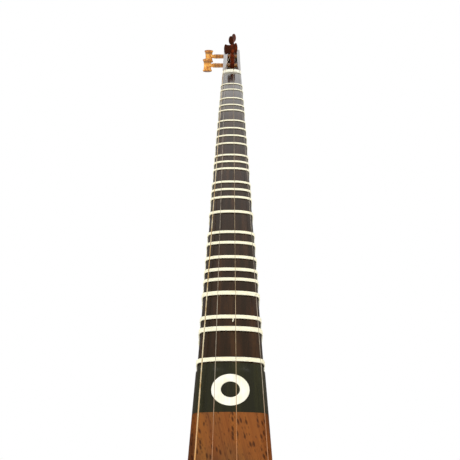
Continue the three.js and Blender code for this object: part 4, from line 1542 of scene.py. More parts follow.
@dataclass
class Strings:
    """The four strings, from their loops at the tail to their turns on the pegs."""

    pegs: Pegs
    bridge_half: float = 29.0
    tail_half: float = 14.0
    height_nut: float = 1.9
    height_bridge: float = 6.0
    hook_rise: float = 1.5
    pin_setback: float = 2.9
    pin_radius: float = 1.1
    loop_gap: float = 0.05
    loop_steps: int = 24
    twist_length: float = 9.0
    twist_start: float = 3.4
    twist_turns: int = 8
    twist_steps: int = 12
    twist_share: float = 1.02
    run_shares: tuple[float, ...] = (0.05, 0.2, 0.5, 0.8)
    seat: float = 0.3
    pitch_share: float = 1.06
    layer_share: float = 0.9
    climb_turns: float = 1 / 3
    least_back: int = 3
    turn_steps: int = 28
    wire_sides: int = 12
    coil_sides: int = 8
    places: tuple[StringPlace, ...] = (
        StringPlace("bass", -0.889, -0.455, -0.643, "side_far", 0.55, "bronze_wire", 7),
        StringPlace("zang", -0.676, -0.207, -0.243, "side_near", 0.24, "steel_wire", 13),
        StringPlace("second", 0.178, 0.086, 0.186, "front_near", 0.24, "bronze_wire", 15),
        StringPlace("first", 0.853, 0.503, 0.643, "front_far", 0.24, "steel_wire", 13))

    def peg(self, string: StringPlace) -> PegPlace:
        """Finds the peg that a string winds on."""
        return next(peg for peg in self.pegs.places if peg.name == string.peg)

    def winding_start(self, string: StringPlace) -> float:
        """Distance from the peg handle's middle to the first turn.

        Args:
            string: the string.

        Returns:
            The distance.
        """
        peg = self.peg(string)
        if peg.front:
            return self.pegs.front_standoff + self.pegs.front_winding_depth
        return peg.winding_share * self.pegs.head.slot_width / 2 - self.pegs.basis(peg)[0][3]

    def winding_radius(self, string: StringPlace) -> float:
        """Radius of the turns, to the middle of the wire."""
        start = self.winding_start(string)
        return self.pegs.shaft_radius(self.peg(string), start) + self.seat + string.diameter / 2

    def nut_point(self, string: StringPlace) -> Vector:
        """Where a string leaves the nut.

        Args:
            string: the string.

        Returns:
            The point.
        """
        half = PLAN.neck_half(0)
        x = string.nut * PLAN.nut_width / 2
        return Vector((x, PLAN.plate_y(x, half, PLAN.camber_nut) - self.height_nut, PLAN.z(0)))

    def bridge_point(self, string: StringPlace) -> Vector:
        """Where a string crosses the bridge."""
        return Vector((string.bridge * self.bridge_half, -PLAN.plate - self.height_bridge,
                       PLAN.z(PLAN.scale_length)))

    def peg_point(self, string: StringPlace) -> Vector:
        """Where a string meets its peg."""
        local = Vector((self.winding_radius(string), 0.0, self.winding_start(string)))
        return self.pegs.basis(self.peg(string)) @ local

    def over_nut(self, string: StringPlace, station: float) -> Vector:
        """Finds the string above the nut and beyond it."""
        a, b = self.nut_point(string), self.peg_point(string)
        return a.lerp(b, (PLAN.z(station) - a.z) / (b.z - a.z))

    def path(self, string: StringPlace) -> Ring:
        """Draws a string: twisted end, loop round its pin, bridge, nut and peg.

        Args:
            string: the string.

        Returns:
            The path.
        """
        x, y = string.tail * self.tail_half, -PLAN.plate - self.hook_rise
        loop = self.pin_radius + self.loop_gap + string.diameter / 2
        start = Vector((x - loop, y, self.pin_setback))
        bridge = self.bridge_point(string)
        rise = (bridge - start).normalized()
        side = Vector((1, 0, 0))
        up = side.cross(rise)
        reach = string.diameter * self.twist_share
        wrap = []
        for share in divide(1.0, self.twist_turns * self.twist_steps):
            angle = 2 * math.pi * self.twist_turns * share
            middle = start + rise * lerp(self.twist_length, self.twist_start, share)
            wrap.append(middle + (side * math.cos(angle) + up * math.sin(angle)) * reach)
        hook = [Vector((x + loop * math.cos(a), y, self.pin_setback - loop * math.sin(a)))
                for a in divide(math.pi, self.loop_steps)]
        run = [start.lerp(bridge, share) for share in self.run_shares]
        return [*wrap, *hook, *run, bridge, self.nut_point(string), self.peg_point(string)]

    def winding(self, string: StringPlace) -> Ring:
        """Draws the turns on a peg, close together, in a second layer for the last few.

        Args:
            string: the string.

        Returns:
            The path.
        """
        basis = self.pegs.basis(self.peg(string))
        radius, start = self.winding_radius(string), self.winding_start(string)
        pitch, layer = string.diameter * self.pitch_share, string.diameter * self.layer_share
        steps = self.turn_steps
        turns = [(i / steps, radius, i / steps) for i in range(string.turns * steps + 1)]
        for i in range(1, max(string.turns // 2, self.least_back) * steps + 1):
            grown = lerp(radius, radius + layer, min(i / steps / self.climb_turns, 1.0))
            turns.append((i / steps, grown, string.turns - i / steps))
        path = []
        for turn, reach, level in turns:
            angle = 2 * math.pi * turn
            path.append(basis @ Vector((reach * math.cos(angle), -reach * math.sin(angle),
                                        start + pitch * level)))
        return path

    def build(self, stand: Stand, rig: Rig, wires: dict[str, Finish]) -> None:
        """Builds and dresses the strings and their turns.

        Args:
            stand: takes the finished pieces.
            rig: the tree that lays wire along a path.
            wires: a finish for each string's name.
        """
        for string in self.places:
            for node, path, sides, body in (
                    (f"string_{string.name}", self.path(string), self.wire_sides, "instrument"),
                    (f"winding_{string.name}", self.winding(string), self.coil_sides,
                     f"{string.peg}_peg")):
                piece = path_piece(f"{node}_wire", [path])
                rig.run(piece, wires[string.name], Strand_Radius=string.diameter / 2 * MM,
                        Sides=sides, Waviness=0.0, Seed=0.0)
                stand.add(piece, node, string.slot, body)


@dataclass
class Nut:
    """The bone bar that the strings cross at the end of the fingerboard."""

    strings: Strings
    lip: float = 0.35
    notch_play: float = 0.12
    notch_gap: float = 0.02
    notch_shares: Pair = (0.5, 1.7)
    slope_share: float = 0.25
    top_round: float = 0.7
    front_round: float = 1.7
    side_round: float = 0.9
    foot: float = 0.2
    inset: float = 0.02
    round_steps: int = 5
    top_shares: tuple[float, ...] = (0.45, 0.6, 0.75)
    steps: int = 220

    def ring(self, station: float, drop: float) -> Ring:
        """Draws the nut's section.

        Args:
            station: place along the strings.
            drop: how far the rounding has lowered the top.

        Returns:
            The section's points, from left to right and closed by its foot.
        """
        half = PLAN.neck_half(0)
        places = self.strings.places
        tops = [self.strings.over_nut(string, station) for string in places]
        fall = station / PLAN.nut_length * (tops[0].y - self.strings.nut_point(places[0]).y)
        points = [Vector((-half, 0.0, PLAN.z(station)))]
        for x in spread(-half, half, self.steps):
            y = (PLAN.plate_y(x, half, PLAN.camber_nut) - self.strings.height_nut
                 - fall * self.slope_share - self.lip + drop)
            edge = max(abs(x) - (half - self.side_round), 0.0)
            y += self.side_round - math.sqrt(max(self.side_round ** 2 - edge ** 2, 0.0))
            for top, string in zip(tops, places):
                inner, outer = (share * (string.diameter / 2 + self.notch_play)
                                for share in self.notch_shares)
                floor = top.y + string.diameter / 2 + self.notch_gap
                share = (abs(x - top.x) - inner) / (outer - inner)
                if share < 1:
                    y = max(y, lerp(floor, y, max(share, 0.0)))
            points.append(Vector((x, min(y, -self.foot), PLAN.z(station))))
        points.append(Vector((half, 0.0, PLAN.z(station))))
        return points

    def build(self, stand: Stand, bone: Finish) -> None:
        """Builds and dresses the nut.

        Args:
            stand: takes the finished piece.
            bone: the finish.
        """
        length = PLAN.nut_length
        quarter = [(1 - math.cos(angle), 1 - math.sin(angle))
                   for angle in divide(math.pi / 2, self.round_steps)]
        rings = [self.ring(-self.front_round * low - self.inset, self.front_round * high)
                 for low, high in quarter]
        rings += [self.ring(-length * share, 0.0) for share in self.top_shares]
        rings += [self.ring(-length + self.top_round * high + self.inset, self.top_round * low)
                  for low, high in quarter]
        stand.add(Shape(rings).piece("nut_bone", bone), "nut", "bone")


@dataclass
class Frets:
    """The tied frets: each is gut wound four times round the neck and knotted at its left side."""

    board: Fingerboard
    turns: int = 4
    radius: float = 0.32
    gauges: tuple[Pair, ...] = (
        (16, 0.35), (21, 0.3), (22, 0.36), (23, 0.3), (24, 0.35), (25, 0.285))
    gap: float = 0.11
    cents: tuple[int, ...] = (
        127, 186, 272, 337, 388, 483, 550, 614, 679, 773, 825, 878, 977, 1031, 1086, 1185, 1318,
        1384, 1472, 1546, 1603, 1681, 1811, 1874, 2030)
    back_steps: int = 28
    knot_size: float = 0.75
    knot_shares: Triple = (0.32, 0.4, 0.5)
    knot_turn: float = 0.4
    knot_steps: int = 48
    knot_inset: float = 0.35
    cut_ends: tuple[Triple, Triple] = ((0.1, -0.2, 2.88), (0.1, 0.6, -2.56))
    loose_fret: int = 23
    loose_x: float = 1.1
    loose_route: tuple[Triple, ...] = (
        (-0.4, -0.9, -0.3), (0.0, -0.55, -1.0), (0.15, -0.45, -2.2), (-0.1, -0.7, -3.6))
    waviness: float = 0.08
    sides: int = 8

    def station(self, cents: int) -> float:
        """Station of the fret that raises the open string by that many cents."""
        return PLAN.scale_length * (1 - 2 ** (-cents / 1200))

    def loop(self, station: float, radius: float) -> tuple[list[Vector], list[Vector]]:
        """Offsets the neck's outline for the gut.

        Args:
            station: place along the neck.
            radius: the gut's.

        Returns:
            The front from left to right, and the back from right to left.
        """
        front = [Vector((x, y)) for x, y, _ in self.board.outline(station)]
        arc = PLAN.back_arc(PLAN.neck_half(station), PLAN.neck_depth(station),
                            PLAN.neck_fullness, self.back_steps)
        outline = front + [Vector(point) for point in arc[1:-1]]
        reach = radius + self.gap
        grown = []
        for i, point in enumerate(outline):
            run = (outline[(i + 1) % len(outline)] - outline[i - 1]).normalized()
            grown.append(point + Vector((run.y, -run.x)) * reach)
        return grown[:len(front)], grown[len(front):]

    def paths(self, station: float, radius: float, loose: bool) -> list[Ring]:
        """Draws the gut of one fret: its turns, its knot and its cut ends.

        Args:
            station: place along the neck.
            radius: the gut's.
            loose: whether an end lies over the fingerboard.

        Returns:
            One path for each length of gut.
        """
        front, back = self.loop(station, radius)
        pitch = 2 * radius
        middle = PLAN.z(station)

        def place(point: Vector, turn: float) -> Vector:
            """Puts an outline point on a turn of the gut."""
            return Vector((point.x, point.y, middle + (turn - (self.turns - 1) / 2) * pitch))

        main = []
        for turn in range(self.turns):
            main.extend(place(point, turn) for point in front)
            if turn < self.turns - 1:
                main.extend(place(point, turn + (i + 1) / (len(back) + 1))
                            for i, point in enumerate(back))
        main = [place(back[-2], 0), place(back[-1], 0), *main, place(back[0], self.turns - 1),
                place(back[1], self.turns - 1)]
        paths = [main, self.knot(Vector((back[-2].x - self.knot_inset, back[-2].y, middle)))]
        return paths + [self.loose_end(station)] if loose else paths

    def knot(self, middle: Vector) -> Ring:
        """Draws an overhand knot with its two cut ends against the neck's side.

        Args:
            middle: the knot's middle.

        Returns:
            The path.
        """
        wide, deep, high = (self.knot_size * share for share in self.knot_shares)
        loops = []
        for angle in divide(2 * math.pi, self.knot_steps):
            t = angle + self.knot_turn
            loops.append(Vector((-math.sin(3 * t) * wide,
                                 (math.cos(t) - 2 * math.cos(2 * t)) * deep,
                                 (math.sin(t) + 2 * math.sin(2 * t)) * high)))
        upper, lower = (Vector(end) for end in self.cut_ends)
        return [middle + point for point in (upper, *loops, lower)]

    def loose_end(self, station: float) -> Ring:
        """Draws the short end of gut that one fret leaves over the fingerboard.

        Args:
            station: place along the neck.

        Returns:
            The path.
        """
        x = self.loose_x
        front = PLAN.plate_y(x, PLAN.neck_half(station), PLAN.neck_camber(station))
        return [Vector((x, front, PLAN.z(station))) + Vector(point) for point in self.loose_route]

    def build(self, stand: Stand, rig: Rig, gut: Finish) -> None:
        """Builds and dresses the frets.

        Args:
            stand: takes the finished pieces.
            rig: the tree that lays gut along a path.
            gut: the gut's finish.
        """
        gauges = dict(self.gauges)
        for number, cents in enumerate(self.cents, 1):
            radius = gauges.get(number, self.radius)
            paths = self.paths(self.station(cents), radius, number == self.loose_fret)
            node = f"fret_{number:02d}"
            piece = path_piece(f"{node}_gut", paths)
            rig.run(piece, gut, Strand_Radius=radius * MM, Sides=self.sides,
                    Waviness=self.waviness * MM, Seed=float(number))
            stand.add(piece, node, "gut", node)


@dataclass
class Soundboard:
    """The thin cambered board over the bowl, with its ring of small sound holes."""

    edge_round: float = 1.9
    round_share: float = 0.8
    edge_steps: int = 6
    edge_shades: Pair = (0.7, 2.4)
    side_shades: Pair = (0.5, 0.6)
    shade_inset: float = 1.2
    crown_steps: int = 14
    row_counts: tuple[int, int, int] = (8, 60, 56)
    last_share: float = 0.9975
    drill_depth: float = 20.0
    holes: int = 8
    hole_diameter: float = 3.0
    circle: float = 17.0
    holes_share: float = 0.54

    def places(self) -> list[float]:
        """Lists the rows along the bowl, from the seam to the tail.

        Returns:
            Places along the bowl, 0 to 1.
        """
        seam = PLAN.throat_share * PLAN.panel_length / PLAN.throat_length
        ends = (seam, PLAN.throat_share, PLAN.belly_share, self.last_share)
        runs = [spread(a, b, count) for a, b, count in zip(ends, ends[1:], self.row_counts)]
        return [*runs[0][:-1], *runs[1][:-1], *runs[2]]

    def ring(self, u: float, first: bool) -> tuple[Ring, list[float]]:
        """Draws the board's section.

        Args:
            u: place along the bowl.
            first: whether this is the seam, which stays straight.

        Returns:
            The section's points and each point's painted shade, darkest at the edges.
        """
        station, half, _ = PLAN.bowl(u)
        run, widening, _ = PLAN.bowl_slope(u)
        size = math.hypot(run, widening)
        out_x, out_s = run / size, -widening / size
        camber = PLAN.board_camber(half)
        radius = min(self.edge_round, half * self.round_share)
        side, painted_shade = [], []
        for i, angle in enumerate(divide(math.pi / 2, self.edge_steps)):
            inset = radius * (1 - math.sin(angle))
            x = half - out_x * inset
            s = station if first else station - out_s * inset
            y = PLAN.plate_y(x, half, camber) + radius * (1 - math.cos(angle))
            side.append(Vector((x, y, PLAN.z(s))))
            # Painted shade darkens the rounded edge outwards.
            start, rise = self.edge_shades
            painted_shade.append(min(start + rise * i / self.edge_steps, 1.0))
        reach, level = side[0].x, side[0].z
        inset = min(self.shade_inset, reach / self.crown_steps)
        steps = spread(-reach, reach, self.crown_steps)[1:-1]
        crown = [Vector((x, PLAN.plate_y(x, half, camber), level))
                 for x in (inset - reach, *steps, reach - inset)]
        side.append(Vector((half, 0.0, PLAN.z(station))))
        painted_shade.append(1.0)
        left = [Vector((-point.x, point.y, point.z)) for point in reversed(side)]
        # Painted shade also reaches the crown's outer points, a little more on the right.
        before, after = self.side_shades
        return left + crown + side, [*reversed(painted_shade), before, *([0.0] * len(steps)), after, *painted_shade]

    def build(self, stand: Stand, drill: Rig, wood: Finish) -> None:
        """Builds, drills and dresses the board.

        Args:
            stand: takes the finished piece.
            drill: the tree that drills the ring of holes.
            wood: the board's finish.
        """
        rings, painted_shade = zip(*(self.ring(u, row == 0) for row, u in enumerate(self.places())))
        board = Shape(rings, Cap.ZIP, painted_shade).piece("soundboard_wood")
        centre = PLAN.z(PLAN.neck_length + PLAN.body_length * self.holes_share)
        drill.run(board, wood, Holes=self.holes, Circle_Radius=self.circle / 2 * MM,
                  Hole_Radius=self.hole_diameter / 2 * MM, Depth=self.drill_depth * MM,
                  Centre=(0.0, -PLAN.plate / 2 * MM, centre * MM), Turn=(math.pi / 2, 0.0, 0.0))
        stand.add(board, "soundboard", "mulberry")


@dataclass
class EndPanel:
    """The black panel between fingerboard and soundboard, and the bone ring let into it."""

    edge_round: float = 1.8
    ring_place_share: float = 0.5
    ring_diameter: float = 16.0
    ring_hole: float = 8.0
    ring_thickness: float = 1.4
    ring_rise: float = 0.04
    ring_softened: float = 0.12
    ring_steps: int = 96
    bend_share: float = 0.3
    top_shares: Pair = (0.35, 0.65)
    glue: float = 0.07
    bed_rise: float = 2.0
    lap_gap: float = 0.02
    rows: int = 10

    @property
    def station(self) -> float:
        """Station of the ring's middle."""
        return PLAN.neck_length + PLAN.panel_length * self.ring_place_share

    def panel(self) -> Shape:
        """Skins the panel, from the last fret over the neck's end to the soundboard.

        Returns:
            The shape.
        """
        start = PLAN.neck_length
        halves = [(station, PLAN.neck_half(station))
                  for station in (start - PLAN.panel_lap, start - self.lap_gap)]
        for run in divide(PLAN.panel_length, self.rows):
            half = PLAN.bowl(PLAN.throat_share * run / PLAN.throat_length)[1]
            halves.append((start + run, half))
        rings, painted_shade = zip(*(
            board_section(station, half, PLAN.panel_camber(station), self.edge_round)
            for station, half in halves))
        return Shape(rings, Cap.ZIP, painted_shade)

    def ring(self, grow: float, rise: float, softened: float) -> Shape:
        """Turns the ring, or the cutter for its bed.

        Args:
            grow: clearance on its sides and under it.
            rise: how far its top stands over the panel.
            softened: round of its upper edges.

        Returns:
            The ring with its top following the panel's camber.
        """
        inner, outer = self.ring_hole / 2 - grow, self.ring_diameter / 2 + grow
        floor, bend = self.ring_thickness + grow, softened * self.bend_share
        profile = [
            (inner, floor), (inner, softened - rise), (inner + bend, bend - rise),
            (inner + softened, -rise),
            *((lerp(inner, outer, share), -rise) for share in self.top_shares),
            (outer - softened, -rise), (outer - bend, bend - rise), (outer, softened - rise),
            (outer, floor)]
        camber = PLAN.panel_camber(self.station)
        rings = []
        for angle in divide(2 * math.pi, self.ring_steps)[:-1]:
            ring = []
            for radius, deep in profile:
                x, z = radius * math.cos(angle), radius * math.sin(angle)
                y = PLAN.plate_y(x, PLAN.throat_width / 2, camber) + deep
                ring.append(Vector((x, y, PLAN.z(self.station) + z)))
            rings.append(ring)
        return Shape([*rings, rings[0]], Cap.NONE)

    def build(self, stand: Stand, wood: Finish, bone: Finish) -> None:
        """Builds and dresses the panel and its ring.

        Args:
            stand: takes the finished pieces.
            wood: the panel's finish.
            bone: the ring's finish.
        """
        panel = self.panel().piece("panel_wood")
        carve(panel, [self.ring(self.glue, self.bed_rise, 0.0).piece("ring_bed")], wood)
        stand.add(panel, "end_panel", "blackwood")
        ring = self.ring(0.0, self.ring_rise, self.ring_softened)
        stand.add(ring.piece("ring_bone", bone), "ring_inlay", "bone")


@dataclass
class Bowl:
    """The bowl of nine bent staves and the thin cap over their ends."""

    staves: int = 9
    thickness: float = 3.0
    joint: float = 0.05
    groove: float = 0.16
    groove_width: float = 0.5
    groove_share: float = 0.2
    grain_apart: float = 40.0
    rows: int = 110
    across: int = 12
    inside_step: int = 3
    cap_half_width: float = 30.0
    cap_drops: Pair = (1.5, 0.25)
    cap_steps: int = 40
    cap_rows: int = 36
    cap_end_share: float = 0.998

    def stave(self, index: int) -> Shape:
        """Skins one stave.

        Args:
            index: its number from the right rim.

        Returns:
            The stave, whose grain follows its length.
        """
        start, stop = divide(math.pi, self.staves)[index:index + 2]
        middle = (start + stop) / 2
        rings, grains = [], []
        run, before = 0.0, None
        for u in divide(PLAN.stave_end_share, self.rows):
            _, half, depth = PLAN.bowl(u)
            arc = math.hypot(half * math.sin(middle), depth * math.cos(middle))
            width = arc * (stop - start)
            here = PLAN.bowl_point(u, middle, 0.0)
            run += (here - before).length if before else 0.0
            before = here
            shares = divide(1.0, self.across)
            shares[1] = min(self.groove_width / width, self.groove_share)
            shares[-2] = 1 - shares[1]
            outer = [[lerp(start, stop, share), 0.0, (share - 0.5) * width] for share in shares]
            for end, side, joined in ((0, 1, index > 0), (-1, -1, index < self.staves - 1)):
                if joined:
                    outer[end][0] += side * self.joint / 2 / arc
                    outer[end][1] = -self.groove
            line = outer + [(angle, -self.thickness, place)
                            for angle, _, place in outer[::-self.inside_step]]
            rings.append([PLAN.bowl_point(u, angle, offset) for angle, offset, _ in line])
            grains.append([Vector((place + self.grain_apart * index, offset, run))
                           for _, offset, place in line])
        return Shape(rings, grain=grains)

    def cap(self) -> Shape:
        """Skins the cap that covers the ends of the staves.

        Returns:
            The shape.
        """
        share = self.cap_half_width / (PLAN.belly_width / 2)
        first = lerp(PLAN.belly_share, 1.0, math.acos(share) / (math.pi / 2))
        places = spread(first, self.cap_end_share, self.cap_rows)
        drops = [*self.cap_drops, *([0.0] * (len(places) - len(self.cap_drops)))]
        angles = divide(math.pi, self.cap_steps)
        rings = []
        for u, drop in zip(places, drops):
            top = PLAN.seat_gap + PLAN.cap_thickness - drop
            rings.append([PLAN.bowl_point(u, angle, top) for angle in angles]
                         + [PLAN.bowl_point(u, angle, PLAN.seat_gap) for angle in angles[::-1]])
        grains = [[Vector((point.z, point.y, point.x)) for point in ring] for ring in rings]
        return Shape(rings, Cap.ZIP, grain=grains)

    def build(self, stand: Stand, light: Finish, dark: Finish, cap_wood: Finish) -> None:
        """Builds and dresses the staves and the cap.

        Args:
            stand: takes the finished pieces.
            light: finish of every other stave, from the first.
            dark: finish of those between.
            cap_wood: the cap's finish.
        """
        for index in range(self.staves):
            wood, slot = (dark, "mulberry_dark") if index % 2 else (light, "mulberry")
            piece = self.stave(index).piece(f"stave_{index + 1}_wood", wood)
            stand.add(piece, f"stave_{index + 1}", slot)
        stand.add(self.cap().piece("end_cap_wood", cap_wood), "end_cap", "dark_walnut")


@dataclass
class Bridge:
    """The low arched bridge that the strings hold on the soundboard."""

    strings: Strings
    thickness: float = 3.4
    foot_length: float = 9.0
    foot_height: float = 1.7
    arch_height: float = 2.4
    shoulder: float = 4.0
    lip: float = 0.5
    top_drop: float = 0.3
    top_share: float = 0.55
    notch_play: float = 0.25
    softened: float = 0.22
    soften_degrees: float = 50.0
    arch_steps: int = 8
    slope_steps: int = 12

    @property
    def foot(self) -> float:
        """Place of the feet's underside."""
        return -PLAN.plate - PLAN.seat_gap

    @property
    def top(self) -> float:
        """Place of the upper edge between the notches."""
        return -PLAN.plate - self.strings.height_bridge - self.lip

    def slope(self, x: float) -> list[Pair]:
        """Draws a side's upper edge, from the foot's end to the shoulder at x.

        Args:
            x: place of the shoulder.

        Returns:
            Points across and deep.
        """
        half = math.copysign(self.strings.bridge_half, x)
        low, high = self.foot - self.foot_height, self.top + self.top_drop
        return [(lerp(half, x, t), lerp(low, high, t * t * (3 - 2 * t)))
                for t in divide(1.0, self.slope_steps)]

    def outline(self) -> list[Pair]:
        """Draws the bridge as seen along the strings.

        Returns:
            Points across and deep.
        """
        half = self.strings.bridge_half
        inner = half - self.foot_length
        arch = [(-inner + self.shoulder * (1 - math.cos(angle)),
                 self.foot - self.arch_height * math.sin(angle))
                for angle in divide(math.pi / 2, self.arch_steps)]
        line = [(-half, self.foot), *arch, *((-x, y) for x, y in reversed(arch)),
                (half, self.foot)]
        places = [(string, self.strings.bridge_point(string).x)
                  for string in reversed(self.strings.places)]
        line += self.slope(places[0][1] + self.shoulder)
        for string, x in places:
            low = string.diameter / 2 + self.notch_play
            high = low + self.notch_play
            floor = low - PLAN.plate - self.strings.height_bridge
            line += [(x + high, self.top), (x + low, floor), (x - low, floor),
                     (x - high, self.top)]
        return line + self.slope(places[-1][1] - self.shoulder)[::-1]

    def build(self, stand: Stand, wood: Finish) -> None:
        """Builds and dresses the bridge.

        Args:
            stand: takes the finished piece.
            wood: the finish.
        """
        rings = []
        for side in (-1.0, 1.0):
            ring = []
            for x, y in self.outline():
                taper = lerp(1.0, self.top_share, (self.foot - y) / (self.foot - self.top))
                z = PLAN.z(PLAN.scale_length) + side * self.thickness / 2 * taper
                ring.append(Vector((x, y, z)))
            rings.append(ring)
        piece = Shape(rings).piece("bridge_wood")
        bevel = piece.modifiers.new("softened", "BEVEL")
        bevel.width, bevel.segments = self.softened * MM, 2
        bevel.limit_method, bevel.angle_limit = "ANGLE", math.radians(self.soften_degrees)
        settle(piece, wood)
        stand.add(piece, "bridge", "boxwood", "bridge")


@dataclass
class Tailpiece:
    """The bone block on the tail, shaped to the bowl, with a pin for each string."""

    strings: Strings
    depth: float = 11.0
    hug: float = 4.0
    lip: float = 0.3
    pin_height: float = 3.0
    pin_root: float = 1.6
    pin_rise: float = 1.2
    pin_gap: float = 0.1
    pin_share: float = 1.25
    softened: float = 0.8
    form_shares: Pair = (0.75, 0.9985)
    form_rows: int = 40
    form_steps: int = 48
    overrun: float = 10.0
    overlap: float = 0.02

    def shell(self) -> Shape:
        """Makes the cap's outside as a solid, to shape the block with.

        Returns:
            The shape.
        """
        offset = PLAN.cap_thickness + 2 * PLAN.seat_gap
        return Shape([
            [PLAN.bowl_point(u, angle, offset) for angle in divide(math.pi, self.form_steps)]
            for u in spread(*self.form_shares, self.form_rows)])

    def board_blank(self) -> Shape:
        """Makes the soundboard's outline as a solid, to shape the block with.

        Returns:
            The shape.
        """
        rims = [PLAN.bowl_point(u, 0.0, PLAN.seat_gap)
                for u in spread(*self.form_shares, self.form_rows)]
        return Shape([
            block_section(rim.x, -PLAN.plate - self.overrun, self.overlap, rim.z)
            for rim in rims])

    def build(self, stand: Stand, pins: Rig, bone: Finish) -> None:
        """Builds and dresses the tailpiece.

        Args:
            stand: takes the finished piece.
            pins: the tree that sets the pins.
            bone: the finish.
        """
        half = self.strings.tail_half
        front = -PLAN.plate - self.lip
        back = front + self.depth + PLAN.plate
        heights = (0.0, PLAN.tail_thickness + self.hug)
        block = Shape([block_section(half, front, back, z) for z in heights])
        piece = block.piece("tailpiece_bone")
        bevel = piece.modifiers.new("softened", "BEVEL")
        bevel.width, bevel.segments = self.softened * MM, 4
        settle(piece, bone)
        carve(piece, [self.shell().piece("bowl_form"),
                      self.board_blank().piece("board_form")], bone)
        places = [Vector((string.tail * half, front - self.pin_height / 2 + self.pin_rise,
                          self.strings.pin_setback)) for string in self.strings.places]
        stems = path_piece("pins", [[place] for place in places])
        length = self.pin_height - self.pin_gap + self.pin_root
        pins.run(stems, bone, Pin_Radius=self.strings.pin_radius * self.pin_share * MM,
                 Pin_Length=length * MM, Turn=(math.pi / 2, 0.0, 0.0))
        carve(piece, [stems], bone, Work.JOIN)
        stand.add(piece, "tailpiece", "bone")


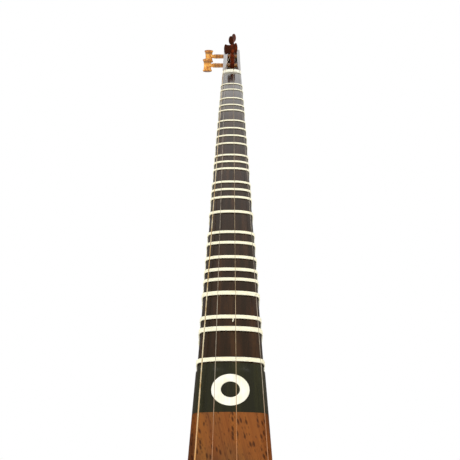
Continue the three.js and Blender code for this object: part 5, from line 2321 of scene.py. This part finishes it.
@dataclass
class Studio:
    """Camera, lamps, world and floor. Camera sizes were fitted to the photograph's fret rows."""

    camera_place: Triple = (0.0, -0.173, 0.1359)
    tilt: float = 33.6
    roll: float = 0.24
    yaw: float = 0.122
    focal_pixels: float = 494.0
    frame_pixels: float = 460.0
    sensor: float = 36.0
    clip: Pair = (0.005, 20.0)
    ambient: float = 0.3
    floor_half: float = 30.0
    suns: tuple[tuple[str, Triple, float, float], ...] = (
        ("key", (-0.55, -1.0, 0.75), 45.0, 1.0),
        ("fill", (1.0, -0.7, 0.15), 60.0, 0.45),
        ("back", (0.3, 1.0, 0.5), 60.0, 0.8),
        ("top", (0.1, 0.1, 1.0), 50.0, 1.4))
    low_place: Triple = (0.0, -0.7, 0.06)
    low_aim: Triple = (0.0, 0.17, 1.0)
    low_size: Pair = (1.0, 0.4)
    low_power: float = 3.6

    def camera(self) -> None:
        """Sets the camera at the photograph's angle."""
        data = bpy.data.cameras.new("camera")
        data.sensor_width = self.sensor
        data.lens = self.sensor * self.focal_pixels / self.frame_pixels
        data.clip_start, data.clip_end = self.clip
        camera = put_in_scene("camera", data)
        tilt = math.radians(self.tilt)
        forward = Vector((0, math.sin(tilt), math.cos(tilt)))
        up = Vector((0, -math.cos(tilt), math.sin(tilt)))
        right = forward.cross(up)
        turn = Matrix((right, up, -forward)).transposed()
        trim = (Matrix.Rotation(math.radians(self.yaw), 3, "Y")
                @ Matrix.Rotation(math.radians(self.roll), 3, "Z"))
        camera.matrix_world = Matrix.Translation(self.camera_place) @ (turn @ trim).to_4x4()
        bpy.context.scene.camera = camera

    def lights(self) -> None:
        """Hangs the soft lamps, each given by where it shines from, its softness and strength."""
        for name, place, softness, strength in self.suns:
            data = bpy.data.lights.new(name, "SUN")
            data.angle, data.energy = math.radians(softness), strength
            lamp = put_in_scene(name, data)
            lamp.rotation_euler = Vector(place).to_track_quat("Z", "Y").to_euler()
            lamp.visible_glossy = False
        data = bpy.data.lights.new("low", "AREA")
        data.shape, data.energy = "RECTANGLE", self.low_power
        data.size, data.size_y = self.low_size
        lamp = put_in_scene("low", data)
        lamp.location = self.low_place
        lamp.rotation_euler = (-Vector(self.low_aim)).to_track_quat("Z", "Y").to_euler()
        lamp.visible_glossy = lamp.visible_camera = False

    def world(self) -> None:
        """Lights everything softly; the camera and reflections see plain white."""
        world = bpy.data.worlds.new("studio")
        world.use_nodes = True
        world.node_tree.nodes.clear()
        g = Graph(world.node_tree)
        path = g.node("ShaderNodeLightPath")
        camera, glossy, through = (Num(g, path.outputs[f"Is {kind} Ray"])
                                   for kind in ("Camera", "Glossy", "Transmission"))
        seen = camera + glossy + through
        strength = seen.math("MINIMUM", seen, 1.0) * (1 - self.ambient) + self.ambient
        back = g.out("ShaderNodeBackground", {"Color": (1.0, 1.0, 1.0), "Strength": strength})
        g.node("ShaderNodeOutputWorld", {"Surface": back})
        bpy.context.scene.world = world

    def floor(self) -> None:
        """Lays the pale floor that the tailpiece stands on."""
        mesh = bpy.data.meshes.new("floor")
        size = self.floor_half
        corners = [(-size, -size, 0), (size, -size, 0), (size, size, 0), (-size, size, 0)]
        mesh.from_pydata(corners, [], [(0, 1, 2, 3)])
        mesh.materials.append(Plaster().build())
        put_in_scene("floor", mesh)

    def build(self) -> None:
        """Sets up everything that isn't part of the object."""
        bpy.context.scene.view_settings.view_transform = "Standard"
        self.camera()
        self.lights()
        self.world()
        self.floor()


def main() -> None:
    """Builds and dresses the setar, class by class."""
    logging.basicConfig(level=logging.INFO, format="%(name)s: %(message)s")
    Studio().build()
    stand = Stand()
    walnut, bone, gut = WALNUT.build(), BONE.build(), GUT.build()
    strand = sweep_rig()
    board = Fingerboard()
    board.build(stand, BOARD_WOOD.build(), walnut)
    head = Head()
    pegs = Pegs(head)
    head.build(stand, HEAD_WOOD.build(), pegs.holes())
    pegs.build(stand, {"amber_peg_wood": AMBER_WOOD.build(), "red_peg_wood": RED_WOOD.build()})
    strings = Strings(pegs)
    steel = STEEL.build()
    strings.build(stand, strand, {"bass": BRASS_WOUND.build(), "zang": steel,
                                  "second": BRONZE.build(), "first": steel})
    Nut(strings).build(stand, bone)
    Frets(board).build(stand, strand, gut)
    EndPanel().build(stand, BLACK_WOOD.build(), bone)
    Soundboard().build(stand, hole_rig(), MULBERRY.build())
    Bowl().build(stand, STAVE_LIGHT.build(), STAVE_DARK.build(), walnut)
    Bridge(strings).build(stand, BOXWOOD.build())
    Tailpiece(strings).build(stand, pin_rig(), bone)
    raw = RAW_WOOD.build()
    for node in ("neck_block", "tail_block", "brace_upper", "brace_lower"):
        stand.dress(node, raw)
    log.info("%d pieces", stand.count)
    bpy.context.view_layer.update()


if __name__ == "__main__":
    main()
